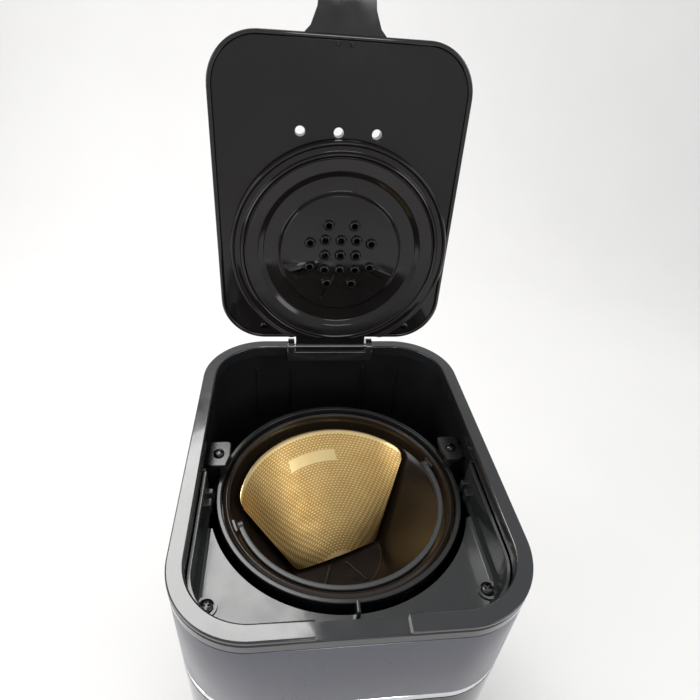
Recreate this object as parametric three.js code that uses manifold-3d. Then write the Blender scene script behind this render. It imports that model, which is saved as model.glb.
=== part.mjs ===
// Drip coffee maker with an open lid, a lift-out filter basket, a mesh cone filter and a glass carafe.
// Millimetres. +Z up, -Y front, origin on the table under the middle of the body.
import * as THREE from "three";
import { mergeVertices } from "three/addons/utils/BufferGeometryUtils.js";
import Module from "manifold-3d";

const wasm = await Module();
wasm.setup();

// ---- driving dimensions -------------------------------------------------------------------
const W = 200, D = 250, RC = 47; // plan of the body and its corner radius
const FOOT = 5, BASE_Z = 5, BASE_TOP = 50; // feet, underside of the base, top of the base
const HEAD_Z = 205, RIM_Z = 330; // underside of the head, top of the rim
const WALL = 3; // housing wall
const RIM_W = 9.5, RIM_T = 9.5; // rim band: width seen from above, height
const NOTCH_W = 47, NOTCH_D = 10; // notch at the front of the rim for the tongue of the lid
const FASCIA_Z = 258; // lower edge of the bright front panel
const BX = 0, BY = -8; // axis of the basket, the plate and the carafe
const RING_R = 83.7, RING_Z = 298; // collar of the basket holder
const DECK_Z = 294, DECK_R = 88, DECK_Y = -35; // deck plate, its round cut-out, its rear edge
const COL_Y = 63; // front face of the rear column
const HINGE_Y = 114, HINGE_Z = 332.6, LID_OPEN = 93; // hinge axis, opening angle in degrees
const LID_W = 173, LID_V0 = 10.3, LID_V1 = 225.5, LID_R = 33; // lid outline, along v from the hinge
const LID_TOP = -8, LID_LIP = 4; // lid thickness, h is positive on the inner side
const SH_U = 3.5, SH_V = 84.2, VENT_V = 168.6; // centre of the shower on the lid, row of the vents
const HOLE_PITCH = 11.6, HOLE_R = 2.2; // drip holes
const PLATE_Z = 53; // top of the warming plate
const TURN = 19.5; // turn of the bail axis and of the filter in the basket, degrees
const VENTS = [-27.4, -1.4, 24.7], LID_SCREWS = [-54.5, 61]; // across the lid
const RAD = Math.PI / 180;

// ---- helpers ------------------------------------------------------------------------------
function solid(g) {
  g = g.clone();
  g.deleteAttribute("normal");
  g.deleteAttribute("uv");
  const m = mergeVertices(g, 1e-4);
  const make = (tri) => new wasm.Manifold(new wasm.Mesh({
    numProp: 3, vertProperties: new Float32Array(m.attributes.position.array), triVerts: tri }));
  const tri = new Uint32Array(m.index.array);
  let s = make(tri);
  if (s.volume() < 0) {
    for (let i = 0; i < tri.length; i += 3) [tri[i], tri[i + 1]] = [tri[i + 1], tri[i]];
    s = make(tri);
  }
  return s;
}
function rrect(w, d, r, cx = 0, cy = 0) {
  const s = new THREE.Shape(), x = w / 2, y = d / 2;
  s.moveTo(cx - x + r, cy - y).lineTo(cx + x - r, cy - y);
  s.absarc(cx + x - r, cy - y + r, r, -Math.PI / 2, 0, false);
  s.lineTo(cx + x, cy + y - r).absarc(cx + x - r, cy + y - r, r, 0, Math.PI / 2, false);
  s.lineTo(cx - x + r, cy + y).absarc(cx - x + r, cy + y - r, r, Math.PI / 2, Math.PI, false);
  s.lineTo(cx - x, cy - y + r).absarc(cx - x + r, cy - y + r, r, Math.PI, 1.5 * Math.PI, false);
  return s;
}
function prism(shape, z0, z1, seg = 3) {
  const g = new THREE.ExtrudeGeometry(shape, { depth: z1 - z0, bevelEnabled: false, curveSegments: seg });
  return solid(g.translate(0, 0, z0));
}
const body = (inset, z0, z1, seg = 3) => prism(rrect(W - 2 * inset, D - 2 * inset, RC - inset), z0, z1, seg);
function box(x0, x1, y0, y1, z0, z1) {
  const g = new THREE.BoxGeometry(x1 - x0, y1 - y0, z1 - z0);
  return solid(g.translate((x0 + x1) / 2, (y0 + y1) / 2, (z0 + z1) / 2));
}
function cyl(r, z0, z1, x = 0, y = 0, seg = 24, r2 = r) {
  const g = new THREE.CylinderGeometry(r2, r, z1 - z0, seg);
  return solid(g.rotateX(Math.PI / 2).translate(x, y, (z0 + z1) / 2));
}
function cylX(r, x0, x1, y, z, seg = 20) {
  const g = new THREE.CylinderGeometry(r, r, x1 - x0, seg);
  return solid(g.rotateZ(Math.PI / 2).translate((x0 + x1) / 2, y, z));
}
function cylY(r, y0, y1, x, z, seg = 20) {
  const g = new THREE.CylinderGeometry(r, r, y1 - y0, seg);
  return solid(g.translate(x, (y0 + y1) / 2, z));
}
function lathe(rz, x = 0, y = 0, seg = 40) {
  const pts = rz.map(([r, z]) => new THREE.Vector2(r, z));
  pts.push(pts[0].clone());
  return solid(new THREE.LatheGeometry(pts, seg).rotateX(Math.PI / 2).translate(x, y, 0));
}
function sweep(points, r, seg = 5, steps = 16) {
  const s = new THREE.Shape();
  s.absarc(0, 0, r, 0, 2 * Math.PI, false);
  const path = new THREE.CatmullRomCurve3(points.map((p) => new THREE.Vector3(...p)));
  return solid(new THREE.ExtrudeGeometry(s, { steps, bevelEnabled: false, curveSegments: seg, extrudePath: path }));
}
const join = (...a) => a.reduce((p, q) => p.add(q));
const cut = (a, ...b) => b.reduce((p, q) => p.subtract(q), a);

const MAT = {
  gloss: [0x0d0d0f, 0.12, 0], satin: [0x141416, 0.42, 0], deck: [0x101113, 0.22, 0],
  metal: [0x8a8c96, 0.25, 0.9], chrome: [0xc9cbd0, 0.12, 1], gold: [0xd7b068, 0.35, 0.8],
  rubber: [0x1a1a1a, 0.9, 0], steel: [0xb4b6ba, 0.35, 1], glass: [0xdfe8ea, 0.03, 0],
  board: [0x1f5a38, 0.6, 0], hose: [0xe7e4dc, 0.6, 0], lens: [0x0a1420, 0.08, 0],
  enamel: [0x26262a, 0.3, 0.4], window: [0x6f7c82, 0.08, 0],
};
const group = new THREE.Group();
function put(name, s, kind, matrix) {
  const m = s.getMesh(), n = m.numProp, v = new Float32Array(m.numVert * 3);
  for (let i = 0; i < m.numVert; i++) v.set(m.vertProperties.subarray(i * n, i * n + 3), i * 3);
  const g = new THREE.BufferGeometry();
  g.setAttribute("position", new THREE.BufferAttribute(v, 3));
  g.setIndex(new THREE.BufferAttribute(new Uint32Array(m.triVerts), 1));
  if (matrix) g.applyMatrix4(matrix);
  g.computeVertexNormals();
  const [color, roughness, metalness] = MAT[kind];
  const mesh = new THREE.Mesh(g, new THREE.MeshStandardMaterial({ color, roughness, metalness }));
  mesh.name = name;
  group.add(mesh);
}

// ---- base ---------------------------------------------------------------------------------
const FEET = [[-72, -96], [72, -96], [-72, 96], [72, 96]];
const SCREWS = [[-55, -108], [55, -108], [-55, 108], [55, 108]];
function base() {
  let plate = body(3.4, BASE_Z, BASE_Z + 2.4);
  for (const [x, y] of FEET) plate = cut(plate, cyl(4, 0, 20, x, y, 10));
  for (const [x, y] of SCREWS) plate = cut(plate, cyl(1.9, 0, 20, x, y, 8));
  for (let i = -4; i <= 4; i++) plate = cut(plate, box(i * 8 - 1.8, i * 8 + 1.8, 50, 78, 0, 20));
  put("base_plate", plate, "satin");
  FEET.forEach(([x, y], i) => {
    const f = join(cyl(9, 0, FOOT - 0.3, x, y, 24, 10), cyl(3.7, FOOT - 0.5, 9, x, y, 10));
    put("foot_" + (i + 1), f, "rubber");
  });
  SCREWS.forEach(([x, y], i) => {
    put("base_screw_" + (i + 1), join(cyl(3.6, 3, BASE_Z - 0.3, x, y, 10), cyl(1.5, 4, 15, x, y, 8)), "steel");
  });
}

// ---- housing ------------------------------------------------------------------------------
function housing() {
  const top = RIM_Z - RIM_T - 0.4;
  let h = body(0, BASE_Z, top);
  h = cut(h, body(WALL, BASE_Z - 1, BASE_TOP - WALL), body(WALL, HEAD_Z + WALL, top + 1));
  const col = body(WALL, BASE_Z + 1, HEAD_Z + 20).intersect(box(-99, 99, COL_Y + WALL, 130, 0, 300));
  h = cut(h, col, box(-120, 120, -130, COL_Y, BASE_TOP, HEAD_Z));
  h = cut(h, cyl(62.5, BASE_TOP - 5, BASE_TOP + 1, BX, BY, 26)); // warming plate
  h = cut(h, cyl(24, HEAD_Z - 1, HEAD_Z + 5, BX, BY, 26)); // outlet of the basket holder
  h = cut(h, box(-54, 54, -126, -121, 14, 42)); // control panel
  h = cut(h, cylY(6.3, 115, 130, -72, 26)); // power inlet
  h = cut(h, box(96, 102, 88, 100, 90, 292)); // water window
  for (let i = 0; i < 7; i++) h = cut(h, box(-30 + i * 10, -24 + i * 10, 115, 130, 18, 21.5));
  // bosses for the base screws, and a fascia seat round the front of the head
  for (const [x, y] of SCREWS) {
    const web = box(x - 1.2, x + 1.2, y > 0 ? y : -123, y > 0 ? 123 : y, 8.2, BASE_TOP - 1.2);
    h = join(h, cut(join(cyl(4.6, 8, BASE_TOP - 1, x, y, 8), web), cyl(1.8, 0, 17, x, y, 10)));
  }
  const front = box(-110, 110, -130, -70, FASCIA_Z - 6.2, top + 1);
  h = cut(h, cut(body(-1, FASCIA_Z - 6, top + 1), body(1.5, FASCIA_Z - 7, top + 2)).intersect(front));
  // pegs that carry the deck and the basket holder
  for (const s of [-1, 1]) {
    const post = cut(cyl(4.5, HEAD_Z + 1, DECK_Z - 3, s * 81.5, -86.5, 10), cyl(1.8, DECK_Z - 16, DECK_Z, s * 81.5, -86.5, 10));
    h = join(h, post.intersect(body(WALL - 1, HEAD_Z, top)));
  }
  put("main_housing", h, "gloss");
  const strip = (z0, z1) => cut(body(0.1, z0, z1), body(1.2, z0 - 1, z1 + 1))
    .intersect(box(-110, 110, -130, -70.4, 0, 400));
  put("front_fascia", strip(FASCIA_Z, top - 0.3), "metal");
  put("trim_band", strip(FASCIA_Z - 5.6, FASCIA_Z - 0.4), "chrome");
  put("water_window", box(96.6, 99.6, 88.4, 99.6, 90.4, 291.6), "window");
  const gland = join(cylY(5.9, 118, 127, -72, 26), cylY(8.5, 125.3, 128.5, -72, 26));
  put("power_gland", cut(gland, cylY(3.2, 110, 132, -72, 26, 16)), "rubber");
}
function rim() {
  let r = join(body(0, RIM_Z - 2.6, RIM_Z), body(0.9, RIM_Z - 3.6, RIM_Z - 2.5), body(0, RIM_Z - RIM_T, RIM_Z - 3.5));
  r = cut(r, body(RIM_W, RIM_Z - 20, RIM_Z + 1));
  r = cut(r, box(-NOTCH_W / 2, NOTCH_W / 2, -130, -125 + NOTCH_D, RIM_Z - 3, RIM_Z + 1));
  // hinge seat: a block inside the back of the rim with two cheeks
  r = join(r, box(-36, 36, 108, 117, RIM_Z - RIM_T, RIM_Z));
  for (const s of [-1, 1]) {
    const cheek = join(cylX(6, s > 0 ? 30 : -35, s > 0 ? 35 : -30, HINGE_Y, HINGE_Z), box(s > 0 ? 30 : -35, s > 0 ? 35 : -30, HINGE_Y - 6, HINGE_Y + 6, RIM_Z - 2, HINGE_Z));
    r = join(r, cheek);
  }
  r = cut(r, box(-29.6, 29.6, 109.6, 130, RIM_Z - 6.5, RIM_Z + 10));
  r = cut(r, cylX(2.4, -40, 40, HINGE_Y, HINGE_Z, 16));
  put("rim_bezel", r, "gloss");
  for (const s of [-1, 1]) {
    put(s < 0 ? "hinge_pin_l" : "hinge_pin_r", cylX(2.05, s < 0 ? -35.5 : 20, s < 0 ? -20 : 35.5, HINGE_Y, HINGE_Z, 16), "steel");
  }
}

// ---- inside of the head ---------------------------------------------------------------------
function deck() {
  const area = box(-120, 120, -130, DECK_Y, 0, 400);
  let d = body(RIM_W + 0.6, DECK_Z - 2.5, DECK_Z).intersect(area);
  d = cut(d, cyl(DECK_R, 200, 330, BX, BY, 26));
  const upstand = cut(body(RIM_W + 0.6, DECK_Z - 2.5, RIM_Z - RIM_T - 1.2), body(RIM_W + 2.6, DECK_Z - 5, RIM_Z))
    .intersect(box(-120, 120, -130, -10, 0, 400));
  d = join(d, upstand);
  for (const s of [-1, 1]) { // clip brackets on the side walls
    const x0 = s > 0 ? 85.2 : -89, x1 = s > 0 ? 89 : -85.2;
    d = join(d, box(x0, x1, -24, -18, DECK_Z, DECK_Z + 9), box(x0, x1, -14, -10, DECK_Z, DECK_Z + 9));
    d = cut(d, cyl(1.9, 280, 300, s * 81.5, -86.5, 10));
    d = join(d, cut(cyl(6.2, DECK_Z - 1, DECK_Z + 1, s * 81.5, -86.5, 10), cyl(4.6, DECK_Z - 2, DECK_Z + 2, s * 81.5, -86.5, 10)).intersect(body(RIM_W + 1, 280, 300)));
  }
  d = join(d, box(0.8, 3.4, -100.5, -92.2, DECK_Z - 1, DECK_Z + 10));
  put("deck_insert", d, "deck");
  for (const s of [-1, 1]) {
    const sc = join(cyl(3.9, DECK_Z + 0.3, DECK_Z + 2.2, s * 81.5, -86.5, 10), cyl(1.5, DECK_Z - 12, DECK_Z + 1, s * 81.5, -86.5, 10));
    put(s < 0 ? "deck_screw_l" : "deck_screw_r", sc, "steel");
  }
}
function tank() {
  const t = 2, z1 = RIM_Z - RIM_T - 1.2, y0 = -9.4;
  const shell = (i, y1, zb, zt) => body(WALL + 0.6 + i, zb, zt).intersect(box(-120, 120, y1 + i, 130, 0, 400));
  const hole = (i, zb) => cyl(DECK_R - 2 + i, zb, 400, BX, BY, 26);
  const low = HEAD_Z + WALL + 0.6, cy = COL_Y + WALL + 0.6;
  let s = join(cut(shell(0, y0, low, z1), hole(0, 0)), shell(0, cy, 62, low + 1.2));
  s = cut(s, cut(shell(t, y0, low + t, z1 + 1), hole(t, 0)), shell(t, cy, 64.5, low - 0.8));
  s = cut(s, cut(shell(t, cy, 64.5, z1 + 1), hole(t, 0)), cyl(DECK_R + 1, DECK_Z - 6, 400, BX, BY, 26));
  // ledges for the holder ears, and the outlet socket in the floor
  for (const c of [-1, 1]) {
    const boss = join(cyl(6.5, RIM_Z - 46, RIM_Z - 26.4, c * 84, 17, 16), box(c > 0 ? 84 : -95, c > 0 ? 95 : -84, 10.5, 23.5, RIM_Z - 46, RIM_Z - 26.4));
    const only = cut(boss, cyl(DECK_R - 2.6, 0, 400, BX, BY, 26)).intersect(body(WALL + 0.8, 200, 330));
    s = join(s, only);
    s = cut(s, cyl(1.9, RIM_Z - 40, RIM_Z, c * 84, 17, 12));
  }
  s = cut(s, cyl(5.2, 60, 70, 40, 94, 20));
  // window seat faces the slot in the housing
  put("tank_liner", s, "satin");
}
function holder() {
  let h = lathe([[2.6, 210.2], [75, 210.2], [81.8, 214], [81.8, RING_Z - 6], [RING_R, RING_Z - 5], [RING_R, RING_Z],
    [80.2, RING_Z], [80.2, 291], [78.2, 291], [78.2, 216], [74, 212.8], [2.6, 212.8]], BX, BY, 26);
  h = join(h, lathe([[12, HEAD_Z - 3], [17, HEAD_Z - 3], [17, 211], [12, 211]], BX, BY, 16));
  for (const c of [-1, 1]) {
    const ear = join(box(c > 0 ? 76.2 : -91, c > 0 ? 91 : -76.2, 6, 29, RIM_Z - 26, RIM_Z - 23),
      box(c > 0 ? 76.2 : -83, c > 0 ? 83 : -76.2, 6, 10.4, RING_Z - 3, RIM_Z - 24));
    h = join(h, ear.intersect(body(WALL + 3, 200, 330)));
    h = cut(h, cyl(1.9, 280, 320, c * 84, 17, 12));
  }
  h = cut(h, cyl(80.2, 291, 320, BX, BY, 26));
  put("basket_holder", h, "satin");
  for (const c of [-1, 1]) {
    const z = RIM_Z - 23;
    put(c < 0 ? "ear_screw_l" : "ear_screw_r", join(cyl(3.8, z + 0.3, z + 2.2, c * 84, 17, 16), cyl(1.5, z - 13, z + 1, c * 84, 17, 12)), "steel");
  }
}

// ---- basket, bail and filter ------------------------------------------------------------------
const BAIL_Z = RIM_Z - 40;
function basket() {
  let b = lathe([[7, 219], [38.4, 219.6], [73.6, 276.5], [77.2, 281], [77.2, 291.3], [79.6, 291.3], [79.6, 294.6], [77, 296],
    [75.2, 295], [75.2, 282], [71.6, 278], [36.4, 222], [11, 221.4], [7, 221.2]], BX, BY, 26);
  b = join(b, lathe([[5, 216.5], [8.5, 216.5], [8.5, 221], [5, 221]], BX, BY, 16));
  for (let i = 0; i < 6; i++) { // drain ribs on the floor
    b = join(b, box(12, 34, -1, 1, 221, 223.4).rotate([0, 0, i * 60 + 12]).translate([BX, BY, 0]));
  }
  // pivot bosses on the inner wall, with a hole for the ends of the bail
  for (const c of [-1, 1]) {
    const x = c > 0 ? [72.9, 76.4] : [-76.4, -72.9];
    b = join(b, box(x[0], x[1], -5, 5, BAIL_Z - 6, BAIL_Z + 3.4).rotate([0, 0, TURN]).translate([BX, BY, 0])
      .intersect(cyl(76.6, 200, 320, BX, BY, 26)));
    b = cut(b, cylX(1.9, c > 0 ? 60 : -76, c > 0 ? 76 : -60, 0, BAIL_Z, 10).rotate([0, 0, TURN]).translate([BX, BY, 0]));
  }
  put("filter_basket", b, "satin");
}
function bail() {
  // flat band folded down inside the front of the basket, between the pivots
  const s = new THREE.Shape(), r0 = 69, r1 = 72.4;
  s.absarc(0, 0, r1, Math.PI, 2 * Math.PI, false);
  s.lineTo(r0, 0);
  s.absarc(0, 0, r0, 2 * Math.PI, Math.PI, true);
  let a = prism(s, -2.4, 2.4, 16);
  for (const c of [-1, 1]) a = join(a, cylX(1.5, c > 0 ? 70 : -75.6, c > 0 ? 75.6 : -70, 0, 0, 10), cylX(3.4, c > 0 ? 69.2 : -72.4, c > 0 ? 72.4 : -69.2, 0, 0, 12));
  put("basket_bail", a.rotate([0, 0, TURN]).translate([BX, BY, BAIL_Z]), "satin");
}
// thin pocket of mesh: the mouth follows the rear wall of the basket, the crimp stands near the floor
const F_R = 70.6, F_PHI = 72, F_Z = RIM_Z - 45, F_CW = 33.5, F_CL = -4, F_CZ = 225; // mouth arc, crimp line
function meshFilter() {
  const N = 32, M = 4, pos = [], idx = [];
  const ring = (k, t) => {
    const th = (1.7 + 0.9 * k) - t;
    for (let i = 0; i < N; i++) {
      const q = (2 * Math.PI * i) / N, sg = Math.cos(q) * (1 - t / (30 + 36 * k));
      const n = 1.7 + 0.9 * k + th * Math.sin(q), phi = sg * F_PHI * RAD;
      const mouth = [(F_R - n) * Math.sin(phi), (F_R - n) * Math.cos(phi)], crimp = [F_CW * sg, F_CL - n];
      const w = crimp[0] + (mouth[0] - crimp[0]) * k, l = crimp[1] + (mouth[1] - crimp[1]) * k;
      pos.push(w, l, F_CZ + (F_Z - F_CZ) * k);
    }
  };
  for (let j = 0; j <= M; j++) ring(j / M, 0);
  for (let j = M; j >= 0; j--) ring(j ? j / M : 0.05, 1);
  const R = 2 * M + 2;
  for (let j = 0; j < R - 1; j++) for (let i = 0; i < N; i++) {
    const a = j * N + i, b = j * N + ((i + 1) % N), c = a + N, d = b + N;
    idx.push(a, b, d, a, d, c);
  }
  const mid = (j) => { // centre vertex that closes ring j
    let x = 0, y = 0, z = 0;
    for (let i = 0; i < N; i++) { x += pos[(j * N + i) * 3]; y += pos[(j * N + i) * 3 + 1]; z += pos[(j * N + i) * 3 + 2]; }
    pos.push(x / N, y / N, z / N);
    return pos.length / 3 - 1;
  };
  const c0 = mid(0), c1 = mid(R - 1);
  for (let i = 0; i < N; i++) {
    idx.push(c0, (i + 1) % N, i);
    idx.push(c1, (R - 1) * N + i, (R - 1) * N + ((i + 1) % N));
  }
  const g = new THREE.BufferGeometry();
  g.setAttribute("position", new THREE.BufferAttribute(new Float32Array(pos), 3));
  g.setIndex(idx);
  return solid(g).rotate([0, 0, TURN]).translate([BX, BY, 0]);
}

// ---- lid, built flat in (u, v, h) and turned about the hinge ---------------------------------------
function lid() {
  const A = LID_OPEN * RAD;
  const M = new THREE.Matrix4().makeBasis(new THREE.Vector3(1, 0, 0),
    new THREE.Vector3(0, -Math.cos(A), Math.sin(A)), new THREE.Vector3(0, -Math.sin(A), -Math.cos(A)));
  M.setPosition(0, HINGE_Y, HINGE_Z);
  const plan = (i, h0, h1, seg = 3) => prism(rrect(LID_W - 2 * i, LID_V1 - LID_V0 - 2 * i, LID_R - i, 0, (LID_V0 + LID_V1) / 2), h0, h1, seg);
  // outer shell with a chamfered top, the tongue and the hinge neck
  let s = join(plan(0, -5, LID_LIP), plan(2, LID_TOP + 0.9, -4.9), plan(5, LID_TOP, LID_TOP + 1));
  s = cut(s, plan(3, LID_TOP + 2.8, LID_LIP + 1));
  const t = new THREE.Shape();
  t.moveTo(-30, 220).lineTo(30, 220).lineTo(25, 226).lineTo(21.8, 229.2).lineTo(18, 239).lineTo(17, 249);
  t.lineTo(-17, 249).lineTo(-18, 239).lineTo(-21.8, 229.2).lineTo(-25, 226).closePath();
  const tongue = prism(t, -1.2, 3.2).add(box(-17, 17, 246, 249, -1.2, 7));
  s = join(s, cut(tongue, plan(2.8, -20, 20)));
  const neck = join(cylX(4.6, -28.7, 28.7, 0, 0, 20), box(-28.7, 28.7, 0, 13, -4.2, 1.6));
  s = join(s, cut(neck, plan(2.8, -20, 20)));
  for (const x of VENTS) s = cut(s, cyl(3.3, -20, 20, x, VENT_V, 12));
  s = cut(s, cylX(2.4, -40, 40, 0, 0, 16));
  put("lid_shell", s, "gloss", M);
  // inner panel with the round shower housing
  let p = plan(3.4, 0.6, 2.6);
  p = cut(p, cyl(66, -5, 20, SH_U, SH_V, 26));
  p = join(p, lathe([[66, 0.6], [72.6, 0.6], [72.6, 6], [77.4, 6], [77.4, 0.6], [79.5, 0.6], [79.5, 4.5], [80.9, 5.4], [80.6, 8.2], [79.6, 9.8], [78.4, 9.4],
    [77.6, 7.8], [73.8, 7.8], [73, 9.6], [72, 10.2], [71.2, 9.6], [71, 3], [66, 2.6]], SH_U, SH_V, 26));
  p = cut(p, box(-100, 100, -20, LID_V0 + 3.4, -20, 40));
  for (const x of VENTS) {
    p = join(p, cut(cyl(4.9, LID_TOP + 3.2, 2, x, VENT_V, 12), cyl(75, -20, 20, SH_U, SH_V, 26)));
    p = cut(p, cyl(3.3, -20, 20, x, VENT_V, 12));
  }
  for (const x of [-4.4, 4.4]) p = join(p, box(x - 0.9, x + 0.9, 218.6, 221.8, 2, 7));
  for (const x of LID_SCREWS) p = cut(p, cyl(1.9, -5, 6, x, 21, 12));
  put("lid_liner", p, "gloss", M);
  for (const x of LID_SCREWS) {
    put(x < 0 ? "lid_screw_l" : "lid_screw_r", join(cyl(3, 2.9, 4.4, x, 21, 16), cyl(1.5, -3, 3, x, 21, 12)), "steel", M);
  }
  // dished shower plate with raised drip nubs
  let d = lathe([[0, 7.6], [44, 7.6], [46.5, 4.6], [57, 5], [60.5, 7.4], [69.4, 9], [70.2, 9.4], [70.6, 9.1], [70.6, 3.4], [69, 3.4],
    [69, 7.4], [61, 5.6], [57.8, 3.2], [45.6, 2.8], [43.2, 5.6], [0, 5.6]], SH_U, SH_V, 26);
  const holes = [];
  for (let i = -1; i <= 1; i++) for (let j = -1; j <= 1; j++) holes.push([i * HOLE_PITCH, j * HOLE_PITCH]);
  for (let k = 0; k < 8; k++) holes.push([24.6 * Math.cos((22.5 + 45 * k) * RAD), 24.6 * Math.sin((22.5 + 45 * k) * RAD)]);
  for (const [x, y] of holes) d = join(d, cyl(3.7, 6.6, 10.4, SH_U + x, SH_V + y, 8));
  for (const [x, y] of holes) d = cut(d, cyl(HOLE_R, 2, 20, SH_U + x, SH_V + y, 6));
  put("shower_plate", d, "gloss", M);
  // water channel from the hinge to the middle of the shower
  let c = join(box(-9, 9, LID_V0 + 6, SH_V + 9, -4.6, 0.2), cyl(11, -4.6, 4, 0, SH_V, 16));
  c = cut(c, box(-7, 7, LID_V0 + 4, SH_V + 7, -3, -1.2), cyl(8, -3, 14, 0, SH_V, 24));
  put("lid_channel", c, "satin", M);
}

// ---- plate, heater and water path ---------------------------------------------------------------
function heater() {
  put("warming_plate", lathe([[0, 50.6], [54, 50.6], [57.5, 49], [60.5, 49], [60.5, 51.4], [58.6, 52.9], [56, PLATE_Z], [54, 52.2], [0, 52.2]], BX, BY, 26), "enamel");
  put("plate_gasket", lathe([[60.9, 45.6], [64.5, 45.6], [64.5, 46.6], [62.1, 46.8], [62.1, 50.3], [63.6, 50.4], [63.6, 51.6], [60.9, 51.6]], BX, BY, 26), "rubber");
  const arc = [];
  for (let i = 0; i <= 12; i++) {
    const a = (-60 + 25 * i) * RAD;
    arc.push([BX + 40 * Math.sin(a + Math.PI), BY + 40 * Math.cos(a + Math.PI) * -1 * -1, 43.6]);
  }
  put("heater_tube", sweep(arc, 6, 5, 24), "steel");
  put("heater_clamp", join(box(-16, 16, BY - 46, BY - 34, 34.6, 36.8), cyl(2.4, 30, 36, 0, BY - 40, 12)), "steel");
  put("thermostat", join(cyl(8, 38.4, 46, 0, BY - 8, 24), box(-3, 3, BY - 22, BY + 6, 35, 38.6)), "hose");
  put("thermal_fuse", cylX(2.6, -14, 14, BY + 12, 40, 16), "hose");
  put("check_valve", join(cyl(4.6, 52, 66.6, 40, 94, 16), cyl(6.8, 56, 61.6, 40, 94, 20)), "hose");
  const inlet = [[40, 94, 51.4], [40, 94, 44], [40, 90, 37], [39, 76, 35], [36, 60, 35], [31, 44, 36]];
  put("inlet_hose", sweep(inlet, 4.6, 5, 14), "hose");
  const riser = [[-31, 44, 36], [-38, 58, 34.4], [-46, 70, 40], [-46, 88, 50], [-46, 92, 56], [-46, 92, 59.6]];
  put("riser_hose", sweep(riser, 4.6, 5, 14), "hose");
}

// ---- electrics and controls ----------------------------------------------------------------------
function controls() {
  let p = box(-53.6, 53.6, -124.7, -122, 14.4, 41.6);
  p = cut(p, box(-40, 0, -126, -120, 19, 37));
  const BT = [[13, 33], [31, 33], [13, 22], [31, 22]];
  for (const [x, z] of BT) p = cut(p, cylY(4.4, -128, -120, x, z, 20));
  put("control_panel", p, "gloss");
  put("display_lens", box(-39.6, -0.4, -124.5, -122.6, 19.4, 36.6), "lens");
  BT.forEach(([x, z], i) => {
    put("button_" + (i + 1), join(cylY(4, -125.6, -120.5, x, z, 20), cylY(5.2, -121.6, -119.6, x, z, 20)), "satin");
  });
  put("control_board", box(-48, 48, -117.6, -116, 12.5, 43), "board");
  let b = join(box(-60, 10, 70, 101, 9.4, 11), box(-54, -36, 78, 96, 10.9, 25), cyl(5, 10.9, 24, -20, 88, 12));
  put("power_board", b, "board");
}

// ---- drip stop ---------------------------------------------------------------------------------
function dripStop() {
  const stem = join(cyl(2, 195, 217, BX, BY, 12), cyl(8.6, 193.4, 196.2, BX, BY, 16), cyl(3.9, 215.6, 217.8, BX, BY, 12));
  put("valve_stem", stem, "satin");
  const coil = [];
  for (let i = 0; i <= 48; i++) coil.push([BX + 4.2 * Math.cos(i * 0.62), BY + 4.2 * Math.sin(i * 0.62), 197.2 + (12 * i) / 48]);
  put("valve_spring", sweep(coil, 0.6, 3, 52), "steel");
  put("valve_seal", lathe([[2.6, 213.1], [7.4, 213.1], [7.4, 215.2], [2.6, 215.2]], BX, BY, 16), "rubber");
}

// ---- carafe ------------------------------------------------------------------------------------
const CZ = PLATE_Z + 0.3;
function carafe() {
  const o = [[0, 0], [50, 0], [58, 3], [64.5, 13], [67, 28], [66, 46], [60, 66], [52, 84], [47.4, 97], [46.4, 104], [48.5, 112]];
  const inn = o.map(([r, z]) => [Math.max(r - 2.4, 0), z]).reverse();
  inn[inn.length - 1] = [0, 2.4]; inn[inn.length - 2] = [48, 2.4]; inn[inn.length - 3] = [56.2, 5];
  put("carafe_glass", lathe([...o, ...inn].map(([r, z]) => [r, z + CZ]), BX, BY, 26), "glass");
  // collar with the handle bracket and the pouring lip
  let c = lathe([[49, 100], [51.4, 100], [51.8, 118], [50.4, 119], [49, 118]].map(([r, z]) => [r, z + CZ]), BX, BY, 26);
  c = join(c, box(-7, 7, BY - 57, BY - 50.4, CZ + 101, CZ + 117));
  put("carafe_collar", c, "gloss");
  const h = new THREE.Shape();
  h.moveTo(-57.4, 120).lineTo(-98, 120).quadraticCurveTo(-108, 119, -107, 106).lineTo(-101, 50);
  h.quadraticCurveTo(-98, 36, -86, 36).lineTo(-80, 36).lineTo(-80, 47).lineTo(-85, 48);
  h.quadraticCurveTo(-90, 49, -91, 56).lineTo(-95.6, 98).quadraticCurveTo(-96, 106, -90, 106).lineTo(-57.4, 106).closePath();
  let g = new THREE.ExtrudeGeometry(h, { depth: 18, bevelEnabled: false, curveSegments: 6 });
  g.applyMatrix4(new THREE.Matrix4().makeBasis(new THREE.Vector3(0, 1, 0), new THREE.Vector3(0, 0, 1), new THREE.Vector3(1, 0, 0)));
  g.translate(-9, BY, CZ);
  put("carafe_handle", solid(g), "gloss");
  put("carafe_band", join(lathe([[67.5, 38], [68.6, 38], [68.6, 46], [67.5, 46]].map(([r, z]) => [r, z + CZ]), BX, BY, 26), box(-7, 7, BY - 79.5, BY - 68, CZ + 38, CZ + 46)), "chrome");
  // press-on lid with a drip hole and a thumb tab
  let l = lathe([[6, 120], [30, 121], [51, 120], [52.4, 121.5], [52, 124], [34, 133], [14, 134], [11, 131], [6, 130.4]].map(([r, z]) => [r, z + CZ]), BX, BY, 26);
  l = join(l, box(-8, 8, BY - 60, BY - 48, CZ + 121.4, CZ + 124));
  put("carafe_lid", l, "gloss");
}

base();
housing();
rim();
deck();
tank();
holder();
basket();
bail();
put("mesh_filter", meshFilter(), "gold");
lid();
heater();
controls();
dripStop();
carafe();

// the frame's origin is under the middle of the whole part, lid open
const all = new THREE.Box3().setFromObject(group), mid = all.getCenter(new THREE.Vector3());
for (const m of group.children) m.geometry.translate(-mid.x, -mid.y, -all.min.z);

export default group;
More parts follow.
